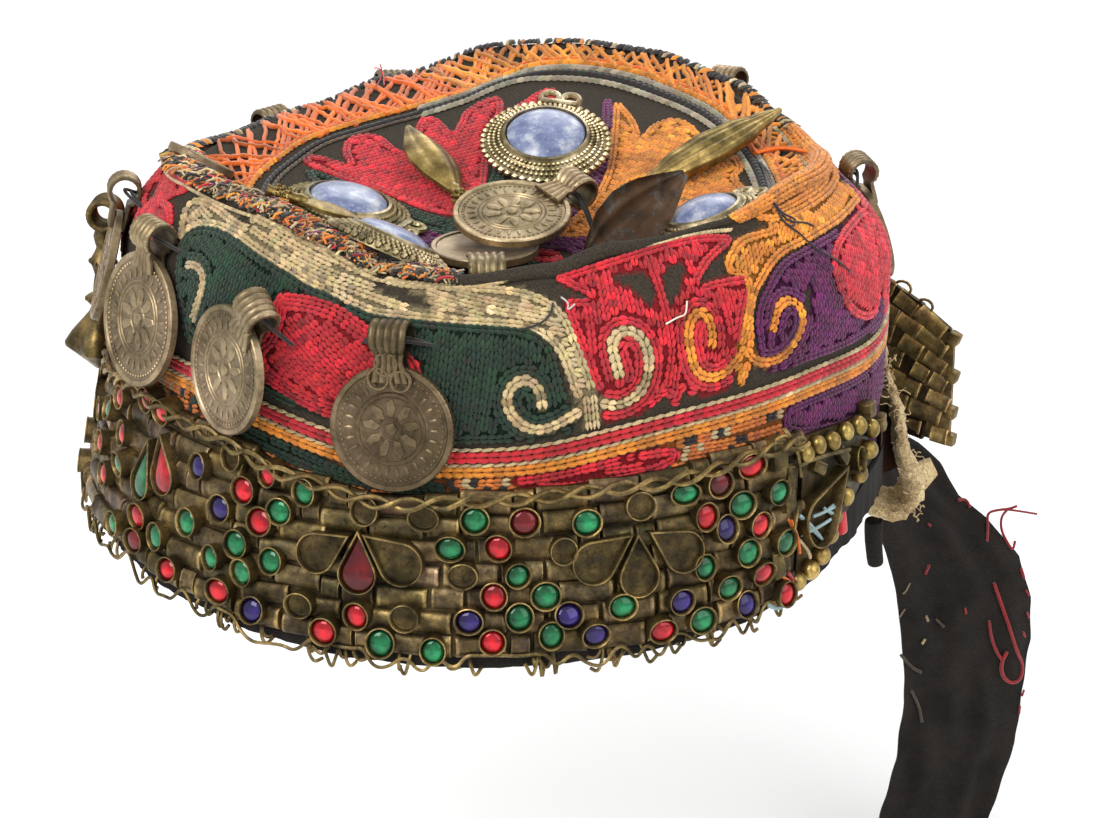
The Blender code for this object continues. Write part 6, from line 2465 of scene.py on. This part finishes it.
def make_bud():
    sides = 32
    a = np.arange(sides) * 2 * math.pi / sides
    sections = []
    for below, radius, square in BUD_RINGS:
        reach = radius * (1 + square * 0.28 * np.cos(4 * a))
        places = np.stack([reach * np.cos(a), reach * np.sin(a), np.full(sides, -below)], axis=-1)
        sections.append(places * MM)
    parts = [loft(sections)]
    for y in (-3.4, -1.7, 0.0, 1.7, 3.4):
        loop = ring(3.4 * MM, 24, y * MM)[:, [0, 2, 1]]
        parts.append(tube(loop, 0.85 * MM, 8, closed=True))
    grain = ball(0.55 * MM, 1)
    for below, reach in ((12.5, 3.2), (22.2, 3.7)):
        parts += [shifted(grain, place) for place in ring(reach * MM, 16, -below * MM)]
    drop = BUD_BAIL_HEIGHT - BUD_WIDEST_HEIGHT
    place = wall_frames(BUD_ANGLE, BUD_WIDEST_HEIGHT)[0]
    loop_place = place[:, 3] + place[:, 2] * (BUD_STANDOFF - drop * math.tan(math.radians(BUD_LEAN)))
    loop_place[2] = BUD_BAIL_HEIGHT
    loop_place -= place[:, 2] * 1.6 * MM + np.array([0.0, 0.0, 2.0 * MM])
    turn = spin(BUD_ANGLE, "Z") @ spin(-BUD_LEAN, "X") @ spin(90, "Z")
    matrix = Matrix.Translation(Vector(loop_place)) @ turn
    heap = Heap()
    heap.spread(joined(*parts), as_frames(matrix), 0.95)
    heap.piece("bud", [PAINT["brass"]], ["bud_drop"])


# The cotton that hangs out, the tail and the tie

# The cotton's course in the picture as x and z, with its thickness there, in millimetres
COTTON_COURSE = (
    (94.8, 44.0, 1.2), (95.4, 39.0, 1.4), (96.2, 33.0, 1.8), (98.2, 27.5, 3.0), (99.8, 23.0, 3.2),
    (100.6, 18.0, 3.0), (100.9, 13.5, 3.2), (102.4, 9.8, 3.8), (104.2, 6.2, 4.8), (104.8, 2.8, 5.2),
    (103.4, -0.8, 5.4), (100.0, -3.0, 5.4), (96.0, -2.6, 5.0), (92.8, 0.2, 4.2),
)
# Outline of the scrap of cotton beside the roll, X and Z in millimetres, with its last two corners in the
# roll; how far it reaches in Y, and how much nearer those corners lie
SCRAP = (
    (108.0, 4.4), (110.6, 5.2), (112.4, 1.6), (110.8, -0.8), (108.9, -3.2), (108.3, -0.6), (105.0, 0.5),
    (105.0, 3.0),
)
SCRAP_REACH = (7.5, 8.6, 10.2)
SCRAP_CORNERS = 6
SCRAP_TURN_IN = 2.8
POCKET_ANGLES = (78.0, 81.0, 84.0, 87.0)


def make_cotton():
    """The cotton lining that hangs out in a torn roll, with the pocket behind it, its dark brown partly the
    lining's colour and partly painted shade of the hollow.
    """
    course, _ = resampled(smooth_line(np.array(COTTON_COURSE)), 0.9)
    path, thick = course[:, :2] * MM, course[:, 2] * MM
    ahead = np.gradient(path, axis=0)
    ahead /= np.linalg.norm(ahead, axis=1, keepdims=True)
    normal = np.stack([-ahead[:, 1], ahead[:, 0]], axis=-1)
    width = np.linspace(COTTON_NEAR, COTTON_FAR, 21)
    middle, half = width.mean(), (COTTON_FAR - COTTON_NEAR) / 2 * 1.04
    lumps = rng.normal(0, 1, (len(path) + 6, 27))
    lumps = sum(np.roll(np.roll(lumps, i, 0), k, 1) for i in range(3) for k in range(3)) / 3
    sections = []
    for i in range(len(path)):
        roll = np.sqrt(np.clip(1 - ((width - middle) / half) ** 2, 0.12, 1))
        rough = lumps[i, 3:24] * 0.30 * MM * (0.4 + thick[i] / (5 * MM))
        sway = 0.7 * MM * math.sin(i * 0.9) + 0.5 * MM * math.sin(i * 2.3)
        sides = []
        for side, bumps in ((1, rough), (-1, rough[::-1])):
            away = side * (thick[i] / 2 * roll + bumps)
            x, z = (path[i, k] + normal[i, k] * away for k in (0, 1))
            sides.append(np.stack([x, width + sway, z], axis=-1)[::side])
        sections.append(np.concatenate(sides))
    heap = Heap()
    heap.add(loft(sections))
    for _ in range(170):
        i = int(rng.integers(4, len(path)))
        y = COTTON_NEAR if rng.random() < 0.6 else rng.uniform(COTTON_NEAR, COTTON_FAR)
        start = np.array([path[i, 0], y, path[i, 1]]) + rng.normal(0, 0.9, 3) * MM
        curl = np.cumsum(rng.normal(0, 0.75, (4, 3)), axis=0) * MM
        heap.add(tube(smooth_line(np.concatenate([[start], start + curl]), rounds=1), 0.13 * MM, 4))
    scrap = [[(x * MM, (y + 0.3 * (k % 2) - SCRAP_TURN_IN * (k >= SCRAP_CORNERS)) * MM, z * MM)
              for k, (x, z) in enumerate(SCRAP)] for y in SCRAP_REACH]
    heap.add(loft(scrap))
    sections = []
    for z, x in sorted((z, x) for x, z, _ in COTTON_COURSE[4:9]):
        wall = wall_frames(np.array(POCKET_ANGLES), z * MM, 1.0 * MM)[:, :, 3]
        outer = np.array([[x * MM, 4 * MM, z * MM]])
        front = np.concatenate([wall, outer])
        sections.append(np.concatenate([front, (front + (-0.4 * MM, 0.6 * MM, 0.0))[::-1]]))
    heap.add(loft(sections), kind=1)
    obj = heap.piece("cotton_roll", [PAINT["cotton"], PAINT["pocket"]], ["cotton_pocket"])
    return obj


def tail_wave(share, height):
    """How far the tail's folds stand out, by the share of its width and the height in millimetres."""
    step = np.interp(-height, [-row[0] for row in TAIL_SECTIONS], range(len(TAIL_SECTIONS)))
    ease = np.minimum(1.0, step / 6)
    wave = np.sin(share * TAIL_FOLDS * 2 * math.pi + 0.5 * step + 0.9 * np.sin(height * 0.045))
    wave = (wave + 0.55 * np.sin(share * 4.3 * 2 * math.pi - 0.7 * step)) * TAIL_FOLD_DEPTH * 0.28 * ease
    return wave + 0.35 * MM * np.sin(share * 21 + height * 0.21) + 0.3 * MM * np.sin(height * 0.5 + share * 9)


def tail_edges(height):
    """The tail's edges at a height: left x and y, right x and y."""
    table = sorted(TAIL_SECTIONS)
    return [between(table, height, k) * MM for k in (1, 2, 3, 4)]


def tail_grid(rows, count):
    """Points across the tail's middle surface, with its folds, and the direction out of it."""
    heights = np.linspace(TAIL_SECTIONS[0][0], TAIL_SECTIONS[-1][0], rows)
    grid, normals = [], []
    for height in heights:
        lx, ly, rx, ry = map(float, tail_edges(height))
        left, right = np.array([lx, ly, height * MM]), np.array([rx, ry, height * MM])
        across = (right - left) / np.linalg.norm(right - left)
        normal = np.array([-across[1], across[0], 0.0])
        share = np.linspace(0, 1, count)
        grid.append(left + (right - left) * share[:, None] + normal * tail_wave(share, height)[:, None])
        normals.append(normal)
    return np.array(grid), np.array(normals)


def over_tail(points):
    """How far points lie in front of the tail."""
    height = np.clip(points[:, 2] / MM, TAIL_SECTIONS[-1][0], TAIL_SECTIONS[0][0])
    lx, ly, rx, ry = tail_edges(height)
    share = (points[:, 0] - lx) / (rx - lx)
    inner = np.clip(share, 0.0, 1.0)
    slope = np.clip(share, -0.3, 1.3)
    return ly + slope * (ry - ly) + tail_wave(inner, height) - points[:, 1]


# Red and pale threads on the tail: thread, radius in millimetres, pixels of the picture
TAIL_THREADS = (
    ("red", 0.55, ((994, 583), (1002, 606), (1010, 629), (1017, 652), (1023, 664), (1021, 679), (1011, 684),
     (1002, 676), (1001, 663), (1007, 652))),
    ("red", 0.45, ((989, 621), (991, 637), (996, 651), (1002, 660))),
    ("red", 0.38, ((987, 541), (988, 526), (987, 513), (997, 510), (1009, 509), (1017, 506))),
    ("red", 0.38, ((1007, 510), (1001, 517), (1001, 530), (1007, 542), (1013, 551), (1015, 541))),
    ("red", 0.30, ((1002, 509), (1019, 511), (1037, 514))),
    ("red", 0.45, ((958, 500), (966, 499), (970, 507))),
    ("red", 0.40, ((928, 524), (931, 526))),
    ("red", 0.45, ((929, 565), (925, 574))),
    ("red", 0.35, ((965, 608), (966, 614))),
    ("red", 0.35, ((1023, 632), (1025, 637))),
    ("red", 0.45, ((1021, 568), (1024, 578))),
    ("red", 0.30, ((1026, 590), (1029, 596))),
    ("red", 0.30, ((1027, 612), (1029, 618))),
    ("red", 0.35, ((1024, 690), (1022, 696))),
    ("red", 0.35, ((1020, 706), (1019, 714))),
    ("brown", 0.5, ((901, 655), (912, 668), (921, 672))),
    ("cream", 0.25, ((910, 583), (906, 591), (903, 594))),
    ("cream", 0.25, ((905, 609), (899, 618))),
    ("cream", 0.40, ((926, 616), (928, 621))),
    ("cream", 0.40, ((925, 639), (922, 644))),
    ("brown", 0.4, ((936, 619), (944, 627))),
    ("brown", 0.4, ((911, 690), (919, 706), (922, 722))),
)


def make_tail():
    grid, normals = tail_grid(120, 46)
    half = TAIL_THICK / 2 * 0.6
    sections = [np.concatenate([g - n * half, (g + n * half)[::-1]]) for g, n in zip(grid, normals)]
    heap = Heap()
    heap.add(loft(sections))
    obj = heap.piece("tail_cloth", [PAINT["tail"]], ["cloth_tail"])
    stitches = Heap()
    for thread, radius, pixels in TAIL_THREADS:
        path = cast(pixels, lambda points: over_tail(points) - 0.9 * MM)
        tint = linear(TAIL_RED) if thread == "red" else shaded(thread, 1)[0] * 0.6
        stitches.add(tube(smooth_line(path), radius * MM, 6), tint)
    stitches_piece = stitches.threads("tail_stitches", "black_cloth")


def make_tie():
    points = smooth_line(np.array(TIE_PATH) * MM, rounds=3)
    share = np.linspace(0, 1, len(points))
    taper = np.interp(share, (0, 0.5, 0.9, 1), (0.9, 1.0, 0.8, 0.35))
    radius = TIE_RADIUS * taper * (1 + 0.05 * np.sin(share * 9))
    heap = Heap()
    heap.add(tube(points, radius, 14))
    heap.piece("tie_cloth", [PAINT["black"]], ["tie_end"])


# The camera, the light and the floor

def make_camera():
    camera = bpy.data.cameras.new("camera")
    camera.sensor_width = SENSOR
    camera.lens = LENS_PIXELS / PICTURE[0] * SENSOR
    camera.clip_start = 0.02
    obj = bpy.data.objects.new("camera", camera)
    obj.location = EYE
    obj.rotation_euler = (math.radians(90.0 - VIEW_DOWN), 0.0, 0.0)
    bpy.context.scene.collection.objects.link(obj)
    bpy.context.scene.camera = obj


def make_light(name, location, aim, size, power):
    light = bpy.data.lights.new(name, "AREA")
    light.energy = power
    light.size = size
    obj = bpy.data.objects.new(name, light)
    obj.location = location
    obj.rotation_euler = (Vector(aim) - Vector(location)).to_track_quat("-Z", "Y").to_euler()
    bpy.context.scene.collection.objects.link(obj)


def make_studio():
    floor_mesh = bpy.data.meshes.new("floor")
    reach, height = 3.0, CAD_BOX[0][2] - 0.002
    floor_mesh.from_pydata([(-reach, -reach, height), (reach, -reach, height), (reach, reach, height),
                            (-reach, reach, height)], [], [(0, 1, 2, 3)])
    paint = Paint("pale_floor", roughness=0.9)
    paint.colour((0.93, 0.93, 0.93))
    floor_mesh.materials.append(paint.made)
    floor = bpy.data.objects.new("floor", floor_mesh)
    bpy.context.scene.collection.objects.link(floor)
    world = bpy.data.worlds.new("studio")
    world.use_nodes = True
    world.node_tree.nodes["Background"].inputs["Color"].default_value = (1.0, 1.0, 1.0, 1.0)
    world.node_tree.nodes["Background"].inputs["Strength"].default_value = 1.0
    bpy.context.scene.world = world
    bpy.context.scene.view_settings.view_transform = "Standard"
    make_light("key", (-0.55, -0.75, 0.85), (0, 0, 0.04), 0.7, 11.0)
    make_light("fill", (0.8, -0.6, 0.5), (0, 0, 0.04), 0.9, 4.5)
    make_light("back", (0.2, 0.9, 0.9), (0, 0, 0.06), 0.8, 5.0)


make_camera()
make_studio()
make_hem()
make_wall_embroidery()
make_crown_embroidery()
make_crown_ring()
make_rim()
make_front_band()
make_back_band()
make_edge_wire()
make_clasp()
make_coins()
make_loose_threads()
make_medallions()
make_leaves()
make_bud()
make_cotton()
make_tail()
make_tie()
